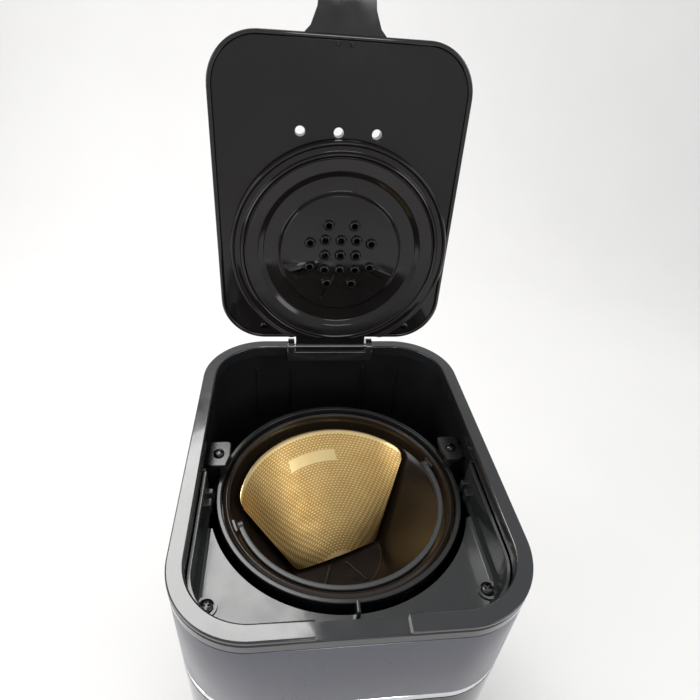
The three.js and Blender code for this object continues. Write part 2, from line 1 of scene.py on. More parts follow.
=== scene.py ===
"""Drip coffee maker with an open lid. Shapes are in millimetres on the body's own axes, and are placed in metres."""
import bpy, bmesh, math
from mathutils import Matrix, Vector


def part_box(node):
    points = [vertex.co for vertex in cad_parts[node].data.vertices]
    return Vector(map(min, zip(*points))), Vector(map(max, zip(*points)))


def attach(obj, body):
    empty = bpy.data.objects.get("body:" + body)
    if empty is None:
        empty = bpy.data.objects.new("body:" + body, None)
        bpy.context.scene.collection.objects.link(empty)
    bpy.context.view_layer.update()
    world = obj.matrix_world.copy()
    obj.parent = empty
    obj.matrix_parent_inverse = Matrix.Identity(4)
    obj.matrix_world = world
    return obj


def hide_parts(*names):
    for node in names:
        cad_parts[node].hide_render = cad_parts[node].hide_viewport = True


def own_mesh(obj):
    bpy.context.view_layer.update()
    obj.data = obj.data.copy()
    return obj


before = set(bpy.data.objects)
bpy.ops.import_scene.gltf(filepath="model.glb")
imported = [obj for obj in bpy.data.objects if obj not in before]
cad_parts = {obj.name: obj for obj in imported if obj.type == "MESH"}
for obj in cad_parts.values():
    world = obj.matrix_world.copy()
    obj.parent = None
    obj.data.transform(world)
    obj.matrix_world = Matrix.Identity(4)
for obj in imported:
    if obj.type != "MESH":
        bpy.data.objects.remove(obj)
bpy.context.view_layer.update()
SC = bpy.context.scene
lo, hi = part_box("main_housing")
SY = (lo[1] + hi[1]) * 500.0          # the body's middle in the row frame, mm
PI = math.pi
RAD = PI / 180

# ------------------------------------------------------------------ driving sizes, mm
W, D, RC = 200.0, 250.0, 47.0         # body width, depth and corner radius
BASE_Z, BASE_TOP = 5.0, 50.0          # underside and top of the foot
HEAD_Z, RIM_Z = 205.0, 330.0          # underside of the head, top of the rim
RIM_T, RIM_W = 9.5, 9.5               # height and width of the rim band
SEAM = RIM_Z - RIM_T - 0.4            # top of the housing under the rim band
WALL, COL_Y = 3.0, 63.0               # housing wall, front of the column
FASCIA_Z, FASCIA_END = 258.0, -70.4   # lower edge of the front panel, where its sides end
PANEL_Y, WINDOW_X = -124.7, 96.6      # backs of the control panel and the water window
GLAND_X, GLAND_Z = -72, 26            # where a cord comes in
BX, BY = 0.0, -8.0                    # axis of the basket, the plate and the carafe
TURN = 19.5 * RAD                     # turn of the basket about that axis
DECK_Z, DECK_R, DECK_Y = 294.0, 88.0, -35.0
DECK_SCREW_X, DECK_SCREW_Y = 81.5, -86.5
RING_Z = 298.0                        # top of the basket holder's collar
EAR_X, EAR_Y = 84, 17                 # screws in the ears of the basket holder
BAIL_Z = RIM_Z - 40                   # pivot of the bail
HINGE_Y, HINGE_Z = 114.0, 332.6
LID_A = 93.0 * RAD                    # how far the lid is open
LID_W, V0, V1, LID_R = 173.0, 10.3, 225.5, 33.0
SH_U, SH_V = 3.5, 84.2                # middle of the shower
VENTS, VENT_V, VENT_R = (-27.4, -1.4, 24.7), 168.6, 3.3
LID_SCREWS, LID_SCREW_V = (-54.5, 61), 21
CZ = 53.3                             # underside of the carafe

# the lid is built flat in (u across, v away from the hinge, h inwards), then stood up
LID_M = Matrix(((1, 0, 0, 0), (0, -math.cos(LID_A), -math.sin(LID_A), HINGE_Y),
                (0, math.sin(LID_A), -math.cos(LID_A), HINGE_Z), (0, 0, 0, 1)))
# basket, bail and filter are turned about the basket's axis
TURN_M = Matrix.Translation((BX, BY, 0)) @ Matrix.Rotation(TURN, 4, "Z")


# ------------------------------------------------------------------ materials
class Mat:
    """A small builder for node materials."""

    def __init__(self, name):
        self.m = bpy.data.materials.new(name)
        self.m.use_nodes = True
        self.t = self.m.node_tree
        self.b = self.t.nodes["Principled BSDF"]
        self.co = self.n("ShaderNodeTexCoord").outputs["Object"]

    def n(self, kind, **kw):
        node = self.t.nodes.new(kind)
        for k, v in kw.items():
            setattr(node, k, v)
        return node

    def link(self, a, b):
        self.t.links.new(a, b)

    def put(self, **kw):
        for k, v in kw.items():
            self.b.inputs[k.replace("_", " ")].default_value = v

    def noise(self, scale, detail=4, rough=0.55, stretch=None, kind="ShaderNodeTexNoise"):
        t = self.n(kind)
        t.inputs["Scale"].default_value = scale
        if kind == "ShaderNodeTexNoise":
            t.inputs["Detail"].default_value = detail
            t.inputs["Roughness"].default_value = rough
        co = self.co
        if stretch:
            mp = self.n("ShaderNodeMapping")
            mp.inputs["Scale"].default_value = stretch
            self.link(co, mp.inputs["Vector"])
            co = mp.outputs[0]
        self.link(co, t.inputs["Vector"])
        return t.outputs["Fac"] if "Fac" in t.outputs else t.outputs["Distance"]

    def rng(self, src, a, b, c, d):
        r = self.n("ShaderNodeMapRange")
        for k, v in zip(("From Min", "From Max", "To Min", "To Max"), (a, b, c, d)):
            r.inputs[k].default_value = v
        self.link(src, r.inputs["Value"])
        return r.outputs["Result"]

    def math(self, op, a, b=None, clamp=False):
        m = self.n("ShaderNodeMath", operation=op, use_clamp=clamp)
        for i, x in enumerate((a, b)):
            if x is None:
                continue
            if isinstance(x, (int, float)):
                m.inputs[i].default_value = x
            else:
                self.link(x, m.inputs[i])
        return m.outputs[0]

    def ramp(self, src, *stops):
        r = self.n("ShaderNodeValToRGB")
        while len(r.color_ramp.elements) < len(stops):
            r.color_ramp.elements.new(0.5)
        for e, (p, c) in zip(r.color_ramp.elements, stops):
            e.position, e.color = p, (*c, 1)
        self.link(src, r.inputs["Fac"])
        return r.outputs["Color"]

    def bump(self, src, strength, dist=0.0002):
        b = self.n("ShaderNodeBump")
        b.inputs["Strength"].default_value = strength
        b.inputs["Distance"].default_value = dist
        self.link(src, b.inputs["Height"])
        self.link(b.outputs["Normal"], self.b.inputs["Normal"])


def plastic(name, col, rough, grain=0.12, gscale=900, spread=0.5, coat=0.0, smudge=0.06, spec=0.5):
    """Moulded plastic: faint cloudy colour, smudged gloss and a fine moulded grain."""
    m = Mat(name)
    cloud = m.noise(9, 5)
    c = Vector(col)
    m.link(m.ramp(cloud, (0.3, tuple(c * (1 - spread * 0.5))), (0.7, tuple(c * (1 + spread * 0.5)))),
           m.b.inputs["Base Color"])
    sm = m.noise(38, 6, 0.62)
    dust = m.noise(2600, 2)
    mix = m.math("ADD", m.rng(sm, 0.35, 0.7, -smudge * 0.5, smudge), m.rng(dust, 0.6, 0.8, 0, 0.05))
    m.link(m.math("ADD", mix, rough, True), m.b.inputs["Roughness"])
    m.bump(m.noise(gscale, 3), grain, 0.00006)
    m.put(IOR=1.49, Specular_IOR_Level=spec)
    if coat:
        m.put(Coat_Weight=coat, Coat_Roughness=0.04)
    return m.m


def metal(name, col, rough, flake=0.0, brush=None, spread=0.1, metallic=1.0):
    """Metal or metallic paint, with fine flake, a brushed direction or a faint unevenness."""
    m = Mat(name)
    c = Vector(col)
    src = m.noise(60, 4, 0.5, brush) if brush else m.noise(3200 if flake else 30, 2)
    m.link(m.ramp(src, (0.3, tuple(c * (1 - spread))),
                  (0.7, tuple(min(x * (1 + spread), 1) for x in c))), m.b.inputs["Base Color"])
    m.link(m.rng(m.noise(24, 5, 0.6), 0.3, 0.7, rough * 0.8, rough * 1.25), m.b.inputs["Roughness"])
    if flake:
        m.bump(m.noise(3800, 2), flake, 0.00005)
    elif brush:
        m.bump(src, 0.12, 0.00005)
    else:
        m.bump(m.noise(120, 3), 0.04, 0.0001)
    m.put(Metallic=metallic)
    return m.m


def rubber(name, col):
    """Dull rubber or silicone with a fine grain."""
    m = Mat(name)
    c = Vector(col)
    m.link(m.ramp(m.noise(60, 6), (0.3, tuple(c * 0.8)), (0.7, tuple(c * 1.35))),
           m.b.inputs["Base Color"])
    m.link(m.rng(m.noise(200, 4), 0.3, 0.7, 0.7, 0.9), m.b.inputs["Roughness"])
    m.bump(m.noise(1500, 3), 0.3, 0.0001)
    return m.m


def glass(name, tint, rough=0.0, ior=1.47):
    """Clear glass or clear plastic with a faint waviness."""
    m = Mat(name)
    m.put(Transmission_Weight=1.0, IOR=ior, Base_Color=(*tint, 1))
    m.link(m.rng(m.noise(30, 5), 0.4, 0.75, rough, rough + 0.05), m.b.inputs["Roughness"])
    m.bump(m.noise(12, 2), 0.03, 0.0004)
    return m.m


GLOSS = plastic("gloss_black", (0.0075, 0.0075, 0.0082), 0.07, 0.03, 500, coat=0.15)
LIDIN = plastic("gloss_black_inner", (0.009, 0.0075, 0.0072), 0.075, 0.02, 420, spec=0.38)
RIMM = plastic("rim_black", (0.016, 0.0165, 0.018), 0.12, 0.04, 500, coat=0.5, smudge=0.1)
SATIN = plastic("satin_black", (0.009, 0.009, 0.0095), 0.4, 0.25, 1600)
DECKM = plastic("deck_black", (0.02, 0.0215, 0.022), 0.2, 0.05, 700, coat=0.3, smudge=0.1)
BROWN = plastic("basket_brown_black", (0.021, 0.0135, 0.0085), 0.2, 0.06, 700)
HOLD = plastic("holder_black", (0.013, 0.0135, 0.014), 0.24, 0.1, 1200)
BAILM = plastic("bail_grey_black", (0.05, 0.051, 0.053), 0.3, 0.12, 1200)
FRONT = metal("front_silver", (0.105, 0.107, 0.128), 0.24, flake=0.1, spread=0.12, metallic=0.7)
CHROME = metal("bright_trim", (0.8, 0.81, 0.83), 0.08)
STEEL = metal("plain_steel", (0.6, 0.61, 0.63), 0.3, brush=(1, 1, 14))
DARK_STEEL = metal("dark_steel", (0.06, 0.06, 0.065), 0.28)
RUBBER = rubber("rubber_black", (0.022, 0.022, 0.022))
SILICONE = rubber("silicone_clear", (0.62, 0.61, 0.57))
ENAMEL = plastic("plate_coating", (0.02, 0.02, 0.022), 0.34, 0.3, 2200)
GLASS = glass("carafe_glass", (0.97, 0.985, 0.985))
WINDOW = glass("window_plastic", (0.8, 0.86, 0.87), 0.08, 1.49)
LENS = plastic("lens_dark", (0.004, 0.006, 0.008), 0.03, 0.0, 300, coat=0.5, smudge=0.02)


def board_material():
    """Green circuit board with darker patches."""
    m = Mat("circuit_board")
    m.link(m.ramp(m.noise(400, 2, kind="ShaderNodeTexVoronoi"), (0.25, (0.02, 0.12, 0.06)),
                  (0.4, (0.015, 0.07, 0.035))), m.b.inputs["Base Color"])
    m.put(Roughness=0.4)
    m.bump(m.noise(300, 3), 0.2, 0.0002)
    return m.m


def gold_mesh_material():
    """Gold-toned sheet with rows of small staggered slots, laid out on the sheet's own UV in millimetres."""
    m = Mat("gold_mesh")
    uv = m.n("ShaderNodeUVMap", uv_map="sheet").outputs[0]
    sep = m.n("ShaderNodeSeparateXYZ")
    m.link(uv, sep.inputs[0])
    u, v = sep.outputs[0], sep.outputs[1]
    row = m.math("DIVIDE", v, 1.9)
    stag = m.math("MULTIPLY", m.math("FLOOR", row), 0.5)
    col = m.math("ADD", m.math("DIVIDE", u, 3.0), stag)
    fu = m.math("SUBTRACT", m.math("FRACT", col), 0.5)
    fv = m.math("SUBTRACT", m.math("FRACT", row), 0.5)
    eu = m.math("POWER", m.math("ABSOLUTE", m.math("DIVIDE", fu, 0.32)), 2.0)
    ev = m.math("POWER", m.math("ABSOLUTE", m.math("DIVIDE", fv, 0.26)), 2.0)
    d = m.math("ADD", eu, ev)
    # a plain rectangle, a plain hem along the mouth and along the crimp
    inu = m.math("LESS_THAN", m.math("ABSOLUTE", m.math("SUBTRACT", u, 1.2)), 20.3)
    inv = m.math("LESS_THAN", m.math("ABSOLUTE", m.math("SUBTRACT", v, 81.0)), 4.6)
    hem = m.math("GREATER_THAN", v, 98.2)
    low = m.math("LESS_THAN", v, 8.0)
    solid = m.math("ADD", m.math("MULTIPLY", inu, inv), m.math("ADD", hem, low), True)
    slot = m.rng(d, 0.75, 1.2, 1.0, 0.0)
    mesh = m.math("SUBTRACT", 1.0, solid)
    lip = m.math("MULTIPLY", slot, mesh)
    cloud = m.noise(35, 5)
    # the slot lips are painted a lighter gold as a painted highlight, standing in for light caught on the raised
    # lips; the plain patch and hems take most of the same lighter gold as their own unperforated tone
    web = m.ramp(cloud, (0.3, (0.50, 0.29, 0.085)), (0.7, (0.62, 0.39, 0.13)))
    lip_highlight_and_plain_tone = m.ramp(cloud, (0.3, (0.88, 0.66, 0.30)), (0.7, (0.98, 0.80, 0.43)))
    mix = m.n("ShaderNodeMix", data_type="RGBA")
    # the colour sockets of a mix node come after its number and vector ones
    m.link(m.math("MAXIMUM", lip, m.math("MULTIPLY", solid, 0.8)), mix.inputs[0])
    m.link(web, mix.inputs[6])
    m.link(lip_highlight_and_plain_tone, mix.inputs[7])
    m.link(mix.outputs[2], m.b.inputs["Base Color"])
    m.link(m.rng(m.noise(90, 5), 0.3, 0.7, 0.3, 0.46), m.b.inputs["Roughness"])
    m.put(Metallic=0.9)
    m.bump(m.math("ADD", lip, m.math("MULTIPLY", solid, 0.5)), 0.45, 0.0003)
    return m.m


BOARD = board_material()
GOLD = gold_mesh_material()


# ------------------------------------------------------------------ mesh helpers
def rr(w, d, r, n=12, cx=0.0, cy=0.0):
    """Rounded rectangle, counter-clockwise from the front right corner."""
    pts = []
    for k, (sx, sy) in enumerate(((1, -1), (1, 1), (-1, 1), (-1, -1))):
        a0 = (-90 + 90 * k) * RAD
        for i in range(n + 1):
            a = a0 + (PI / 2) * i / n
            pts.append((cx + sx * (w / 2 - r) + r * math.cos(a), cy + sy * (d / 2 - r) + r * math.sin(a)))
    return pts


def outline(inset, n=14):
    """The body's plan, moved in by inset."""
    return rr(W - 2 * inset, D - 2 * inset, RC - inset, n)


def raw(name, verts, faces, M=None):
    """A mesh object from millimetre points, at the place the points give in metres."""
    me = bpy.data.meshes.new(name)
    out = []
    for p in verts:
        q = Vector(p)
        if M is not None:
            q = M @ q
        out.append((q.x / 1000, (q.y + SY) / 1000, q.z / 1000))
    me.from_pydata(out, [], faces)
    bm = bmesh.new()
    bm.from_mesh(me)
    bmesh.ops.remove_doubles(bm, verts=bm.verts, dist=1e-6)
    bmesh.ops.recalc_face_normals(bm, faces=bm.faces)
    bm.to_mesh(me)
    bm.free()
    o = bpy.data.objects.new(name, me)
    SC.collection.objects.link(o)
    return o


def loft(name, loops, cap=True, ring=False, M=None):
    """Skin through loops of equal count. ring closes the last loop onto the first."""
    n, k = len(loops[0]), len(loops)
    verts = [p for lp in loops for p in lp]
    faces = []
    for j in range(k if ring else k - 1):
        for i in range(n):
            a, b = j * n + i, j * n + (i + 1) % n
            c, d = ((j + 1) % k) * n + (i + 1) % n, ((j + 1) % k) * n + i
            faces.append((a, b, c, d))
    if cap and not ring:
        faces.append(tuple(range(n))[::-1])
        faces.append(tuple((k - 1) * n + i for i in range(n)))
    return raw(name, verts, faces, M)


def lathe(name, prof, x=0.0, y=0.0, seg=96, M=None, ring=True):
    """Turn a profile of (radius, height) about Z. ring closes the profile on itself."""
    return loft(name, [circle(r, z, x, y, seg) for r, z in prof], cap=False, ring=ring, M=M)


def prism(name, pts, z0, z1, M=None):
    """Upright prism on a flat outline."""
    return loft(name, [[(x, y, z0) for x, y in pts], [(x, y, z1) for x, y in pts]], M=M)


def box(name, x0, x1, y0, y1, z0, z1, M=None):
    return prism(name, [(x0, y0), (x1, y0), (x1, y1), (x0, y1)], z0, z1, M)


def circle(r, z, x, y, seg):
    """A level ring of points."""
    return [(x + r * math.cos(2 * PI * i / seg), y + r * math.sin(2 * PI * i / seg),
             z) for i in range(seg)]


def cyl(name, r, z0, z1, x=0.0, y=0.0, seg=32, M=None):
    return loft(name, [circle(r, z, x, y, seg) for z in (z0, z1)], M=M)


def along(axis, x=0.0, y=0.0, z=0.0):
    """Matrix that turns +Z to +X or +Y and moves to a place."""
    R = Matrix.Rotation(PI / 2, 4, "Y") if axis == "X" else Matrix.Rotation(-PI / 2, 4, "X")
    return Matrix.Translation((x, y, z)) @ R


def along_y(y0):
    """(x, z, depth) to (x, y0 + depth, z)."""
    return Matrix(((1, 0, 0, 0), (0, 0, 1, y0), (0, 1, 0, 0), (0, 0, 0, 1)))


def along_x(x0):
    """(y, z, depth) to (x0 + depth, y, z)."""
    return Matrix(((0, 0, 1, x0), (1, 0, 0, 0), (0, 1, 0, 0), (0, 0, 0, 1)))


def boole(o, op, *others):
    """Apply one kind of boolean with each of the others, which are used up."""
    for c in others:
        md = o.modifiers.new("b", "BOOLEAN")
        md.operation, md.object, md.solver = op, c, "EXACT"
    bake(o)
    for c in others:
        bpy.data.objects.remove(c, do_unlink=True)
    return o


def cut(o, *others):
    return boole(o, "DIFFERENCE", *others)


def join(o, *others):
    return boole(o, "UNION", *others)


def both(o, other):
    return boole(o, "INTERSECT", other)


def bake(o):
    """Apply the modifiers."""
    dg = bpy.context.evaluated_depsgraph_get()
    me = bpy.data.meshes.new_from_object(o.evaluated_get(dg))
    o.modifiers.clear()
    o.data = me


def bevel(o, width=0.6, seg=2, angle=35):
    """Round every edge that turns by more than angle, by width in millimetres."""
    md = o.modifiers.new("v", "BEVEL")
    md.width, md.segments, md.limit_method, md.angle_limit = width / 1000, seg, "ANGLE", angle * RAD
    md.use_clamp_overlap, md.miter_outer = True, "MITER_ARC"
    bake(o)
    return o


def done(o, body, mat, *nodes, slot=None, sharp=32):
    """Finish a piece: smooth shading, material, the body it rides on and the CAD nodes it stands for."""
    me = o.data
    me.materials.clear()
    me.materials.append(mat)
    for p in me.polygons:
        p.use_smooth, p.material_index = True, 0
    me.set_sharp_from_angle(angle=sharp * RAD)
    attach(o, body)
    if nodes:
        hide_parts(*nodes)
    return o


def sweep(name, pts, sect):
    """Sweep a 2D section (side, up) along 3D points, capped at both ends."""
    loops = []
    n = len(pts)
    for i, p in enumerate(pts):
        a, b = Vector(pts[max(i - 1, 0)]), Vector(pts[min(i + 1, n - 1)])
        t = (b - a).normalized()
        up = Vector((0, 0, 1)) if abs(t.z) < 0.9 else Vector((0, 1, 0))
        s = t.cross(up).normalized()
        up = s.cross(t)
        loops.append([tuple(Vector(p) + s * q[0] + up * q[1]) for q in sect])
    return loft(name, loops)


def soft(poly, r, n=3, closed=True):
    """Round the corners of a 2D polygon."""
    out, k = [], len(poly)
    for i, p in enumerate(poly):
        rad = p[2] if len(p) > 2 else r
        p = Vector(p[:2])
        if not closed and i in (0, k - 1):
            out.append(tuple(p))
            continue
        a, b = Vector(poly[i - 1][:2]) - p, Vector(poly[(i + 1) % k][:2]) - p
        la, lb = a.length, b.length
        ang = a.angle(b)
        if rad <= 0 or ang > 170 * RAD:
            out.append(tuple(p))
            continue
        d = min(rad / math.tan(ang / 2), la * 0.45, lb * 0.45)
        p0, p1 = p + a.normalized() * d, p + b.normalized() * d
        for j in range(n + 1):
            t = j / n
            out.append(tuple(p0 * (1 - t) ** 2 + p * 2 * t * (1 - t) + p1 * t * t))
    return out


def slab(name, fn, z0, z1, e0=0.0, e1=0.0, n=3, M=None):
    """Prism whose bottom and top edges are rounded; fn(inset) gives its outline."""
    loops = []
    if e0:
        for i in range(n + 1):
            a = PI / 2 * i / n
            loops.append([(x, y, z0 + e0 * (1 - math.cos(a))) for x, y in fn(e0 * (1 - math.sin(a)))])
    else:
        loops.append([(x, y, z0) for x, y in fn(0)])
    if e1:
        for i in range(n + 1):
            a = PI / 2 * i / n
            loops.append([(x, y, z1 - e1 * (1 - math.sin(a))) for x, y in fn(e1 * (1 - math.cos(a)))])
    else:
        loops.append([(x, y, z1) for x, y in fn(0)])
    return loft(name, loops, M=M)


def rslab(name, x0, x1, y0, y1, z0, z1, rc=1.0, e0=0.4, e1=0.4, M=None, n=4):
    """Box with rounded corners and softened edges."""
    w, d = x1 - x0, y1 - y0
    rc = min(rc, w / 2 - 0.01, d / 2 - 0.01)
    e0, e1 = min(e0, rc * 0.98), min(e1, rc * 0.98)
    fn = lambda i: rr(w - 2 * i, d - 2 * i, max(rc - i, 0.01), n, (x0 + x1) / 2, (y0 + y1) / 2)
    return slab(name, fn, z0, z1, e0, e1, M=M)


def band(name, sect, y_end=None, n=16, M=None):
    """Sweep a section of (inset, z) points round the body's outline; y_end keeps only the front part."""
    cols = [outline(i, n) for i, _ in sect]
    k = n + 1
    if y_end is None:
        loops = [[(cols[j][i][0], cols[j][i][1],
                   sect[j][1]) for j in range(len(sect))] for i in range(4 * k)]
        return loft(name, loops, ring=True, M=M)
    idx = list(range(3 * k, 4 * k)) + list(range(k))
    loops = [[(cols[j][i][0], cols[j][i][1], sect[j][1]) for j in range(len(sect))] for i in idx]
    loops.insert(0, [(-W / 2 + s[0], y_end, s[1]) for s in sect])
    loops.append([(W / 2 - s[0], y_end, s[1]) for s in sect])
    return loft(name, loops, M=M)


def screw(name, r, z0, z1, x, y, body, *nodes, M=None, shank=None, mat=None):
    """Pan head with a cross recess and its shank."""
    h = z1 - z0
    head = lathe(name, [(0.0, z1), (r * 0.45, z1 - 0.04 * h), (r * 0.8, z1 - 0.2 * h),
                        (r * 0.96, z1 - 0.5 * h), (r, z0 + 0.15 * h), (r * 0.96, z0), (0.0, z0)], x, y,
                        32, M=M, ring=False)
    if shank:
        join(head, cyl("k", 1.45, shank, z0 + 0.3, x, y, 16, M=M))
    w = r * 0.17
    cut(head, box("k", x - r * 0.6, x + r * 0.6, y - w, y + w, z1 - 0.62 * h, z1 + 1, M=M),
        box("k", x - w, x + w, y - r * 0.6, y + r * 0.6, z1 - 0.62 * h, z1 + 1, M=M))
    return done(head, body, mat or STEEL, *nodes, slot="plain_steel")


def ycyl(name, r, y0, y1, x, z, seg=32):
    """Cylinder along Y."""
    return cyl(name, r, y0, y1, seg=seg, M=along("Y", x, 0, z))


def xcyl(name, r, x0, x1, y, z, seg=32):
    """Cylinder along X."""
    return cyl(name, r, x0, x1, seg=seg, M=along("X", 0, y, z))


def pick_bevel(o, test, width, seg=4):
    """Round only the edges whose middle, in the body's millimetres, passes the test."""
    bm = bmesh.new()
    bm.from_mesh(o.data)
    es = []
    for e in bm.edges:
        if len(e.link_faces) == 2 and e.calc_face_angle(0) > 0.5:
            m = (e.verts[0].co + e.verts[1].co) / 2 * 1000
            if test(m.x, m.y - SY, m.z):
                es.append(e)
    bmesh.ops.bevel(bm, geom=es, offset=width / 1000, segments=seg, profile=0.5, affect="EDGES",
                    clamp_overlap=True)
    bm.to_mesh(o.data)
    bm.free()
    return o


def smooth_flats(o):
    """Keep flat faces flat in the shading beside small rounds."""
    md = o.modifiers.new("w", "WEIGHTED_NORMAL")
    md.keep_sharp, md.weight = True, 60
    return o


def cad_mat(name, mat):
    """Give a carried-over CAD node a node material and smooth its rounds."""
    o = bpy.data.objects[name]
    for s in o.material_slots:
        s.material = mat
    if not o.material_slots:
        o.data.materials.append(mat)
    for p in o.data.polygons:
        p.use_smooth = True
    o.data.set_sharp_from_angle(angle=40 * RAD)


# ------------------------------------------------------------------ base and housing
FEET = [(-72, -96), (72, -96), (-72, 96), (72, 96)]
SCREWS = [(-55, -108), (55, -108), (-55, 108), (55, 108)]


def make_base():
    """Base plate with vent slots, feet and base screws."""
    o = slab("base_plate_v", lambda i: outline(3.5 + i), BASE_Z, BASE_Z + 2.4, 0.6, 0.3)
    cs = [cyl("k", 4, 0, 20, x, y) for x, y in FEET] + [cyl("k", 1.9, 0, 20, x, y) for x, y in SCREWS]
    cs += [rslab("k", i * 8 - 1.8, i * 8 + 1.8, 50, 78, 0, 20, 1.7, 0, 0) for i in range(-4, 5)]
    # shallow moulded ribs under the plate
    cs += [rslab("k", -60, 60, -70 + i * 22, -67 + i * 22, 0, BASE_Z + 0.5, 1.2, 0, 0) for i in range(5)]
    cut(o, *cs)
    done(smooth_flats(o), "housing", SATIN, "base_plate", slot="satin_black")
    for i, (x, y) in enumerate(FEET):
        f = lathe("foot_%d_v" % (i + 1),
                  soft([(0, 0), (8.7, 0), (9.0, 1.2), (9.9, 4.6), (3.6, 4.7), (3.6, 8.9), (0, 8.9)], 0.5,
                       3, False), x, y, 48, ring=False)
        cut(f, lathe("k", [(5.4, -1), (6.4, -1), (6.2, 0.5), (5.6, 0.5)], x, y, 48))
        done(f, "housing", RUBBER, "foot_%d" % (i + 1), slot="rubber_black")
    for i, (x, y) in enumerate(SCREWS):
        M = Matrix.Translation((0, 0, BASE_Z - 0.3)) @ Matrix.Rotation(PI, 4, "X")
        screw("base_screw_%d_v" % (i + 1), 3.6, 0, 1.7, x, -y, "housing", "base_screw_%d" % (i + 1), M=M,
              shank=-9.6)


def make_housing():
    """Hollow C-shaped body, its front panel, trim line, water window and cord gland."""
    o = slab("housing_v", outline, BASE_Z, SEAM, 1.6, 0.0, 4)
    cut(o, box("k", -120, 120, -140, COL_Y, BASE_TOP, HEAD_Z))
    pick_bevel(o, lambda x, y, z: 45 < z < 210, 3.0, 4)
    col = both(prism("k", outline(WALL), BASE_Z + 1, HEAD_Z + 20),
               box("k2", -99, 99, COL_Y + WALL, 130, 0, 300))
    cs = [prism("k", outline(WALL), BASE_Z - 1, BASE_TOP - WALL),
          prism("k", outline(WALL), HEAD_Z + WALL, SEAM + 1), col,
          cyl("k", 62.5, BASE_TOP - 5, BASE_TOP + 1, BX, BY, 96),
          cyl("k", 24, HEAD_Z - 1, HEAD_Z + 5, BX, BY, 64),
          rslab("k", -54, 54, 14, 42, 0, 5, 3, 0, 0, M=along_y(-126)),
          rslab("k", 88, 100, 90, 292, 0, 6, 3, 0, 0, M=along_x(96))]
    cs += [rslab("k", -30 + i * 10, -24 + i * 10, 18, 21.5, 0, 15, 1.7, 0, 0,
                 M=along_y(115)) for i in range(7)]
    cut(o, *cs)
    seat = cut(prism("k", outline(-1), FASCIA_Z - 6, SEAM + 1),
               prism("k2", outline(1.5), FASCIA_Z - 7, SEAM + 2))
    cut(o, both(seat, box("k3", -110, 110, -130, -70, FASCIA_Z - 6.2, SEAM + 1)))
    for x, y in SCREWS:
        s = join(cyl("k", 4.6, 8, BASE_TOP - 1, x, y, 24),
                 box("k2", x - 1.2, x + 1.2, y if y > 0 else -123, 123 if y > 0 else y, 8.2,
                     BASE_TOP - 1.2))
        join(o, cut(s, cyl("k3", 1.8, 0, 17, x, y, 16)))
    for s in (-1, 1):
        post = cut(cyl("k", 4.5, HEAD_Z + 1, DECK_Z - 3, s * DECK_SCREW_X, DECK_SCREW_Y, 24),
                   cyl("k2", 1.8, DECK_Z - 16, DECK_Z, s * DECK_SCREW_X, DECK_SCREW_Y, 16))
        join(o, both(post, prism("k3", outline(WALL - 1), HEAD_Z, SEAM)))
    bevel(o, 0.35, 2, 50)
    cut(o, ycyl("k", 6.3, 115, 130, GLAND_X, GLAND_Z, 48))
    done(smooth_flats(o), "housing", GLOSS, "main_housing", slot="gloss_black", sharp=40)
    top = SEAM - 0.3
    f = band("front_fascia_v", soft([(0.1, FASCIA_Z), (0.1, top), (1.2, top), (1.2, FASCIA_Z)], 0.4),
             FASCIA_END, 24)
    done(f, "housing", FRONT, "front_fascia", slot="front_metal")
    f = band("trim_band_v",
             soft([(0.1, FASCIA_Z - 5.6), (0.1, FASCIA_Z - 0.4), (1.2, FASCIA_Z - 0.4),
                   (1.2, FASCIA_Z - 5.6)], 0.5), FASCIA_END, 24)
    done(f, "housing", CHROME, "trim_band", slot="bright_trim")
    w = rslab("water_window_v", 88.5, 99.5, 90.5, 291.5, 0, 3, 2.7, 0.3, 0.8, M=along_x(WINDOW_X))
    cut(w, *[rslab("k", 89.6, 92.4 if i % 2 else 95, 110 + i * 16, 110.9 + i * 16, 2.7, 4, 0.4, 0, 0,
                   M=along_x(WINDOW_X)) for i in range(11)])
    done(w, "housing", WINDOW, "water_window", slot="clear_plastic")
    g = lathe("power_gland_v",
              soft([(3.2, 118), (5.9, 118), (5.9, 125.4), (8.5, 125.4), (8.5, 126.6), (5.4, 128.5),
                    (3.2, 128.5)], 0.4), seg=48, M=along("Y", GLAND_X, 0, GLAND_Z))
    done(g, "housing", RUBBER, "power_gland", slot="rubber_black")


def make_rim():
    """Rim band with the notch for the tongue, hinge block, cheeks and pins."""
    z0, z1 = RIM_Z - RIM_T, RIM_Z
    s = [(0.35, z0, 0.3), (0, z0 + 0.4, 0.3), (0, z0 + 5.5, 0.4), (0.9, z0 + 5.95, 0.2),
         (0.9, z0 + 6.95, 0.2), (0, z0 + 7.3, 0.4),
         (0, z1, 1.6), (RIM_W, z1, 1.3), (RIM_W, z0, 0.5)]
    o = band("rim_bezel_v", soft(s, 0.4, 5), n=24)
    notch = rslab("k", -23.5, 23.5, -140, -110, z1 - 3, z1 + 2, 1.0, 0, 0)
    cut(o, notch)
    block = rslab("k", -36, 36, 108, 117, z0, z1 - 0.05, 1.5, 0.4, 0.8)
    join(o, block)
    for s in (-1, 1):
        xs = (30, 35) if s > 0 else (-35, -30)
        ck = join(xcyl("k", 6, xs[0], xs[1], HINGE_Y, HINGE_Z, 40),
                  box("k2", xs[0], xs[1], HINGE_Y - 6, HINGE_Y + 6, z1 - 2, HINGE_Z))
        join(o, ck)
    cut(o, box("k", -29.6, 29.6, 109.6, 130, z1 - 6.5, z1 + 10),
        xcyl("k2", 2.4, -40, 40, HINGE_Y, HINGE_Z, 24))
    bevel(o, 0.45, 2, 50)
    done(smooth_flats(o), "housing", RIMM, "rim_bezel", slot="gloss_black", sharp=40)
    for s in (-1, 1):
        p = xcyl("hinge_pin_%s_v" % "lr"[s > 0], 2.05, 20 if s > 0 else -35.5, 35.5 if s > 0 else -20,
                 HINGE_Y, HINGE_Z, 24)
        done(bevel(p, 0.3), "housing", STEEL, "hinge_pin_" + "lr"[s > 0], slot="plain_steel")


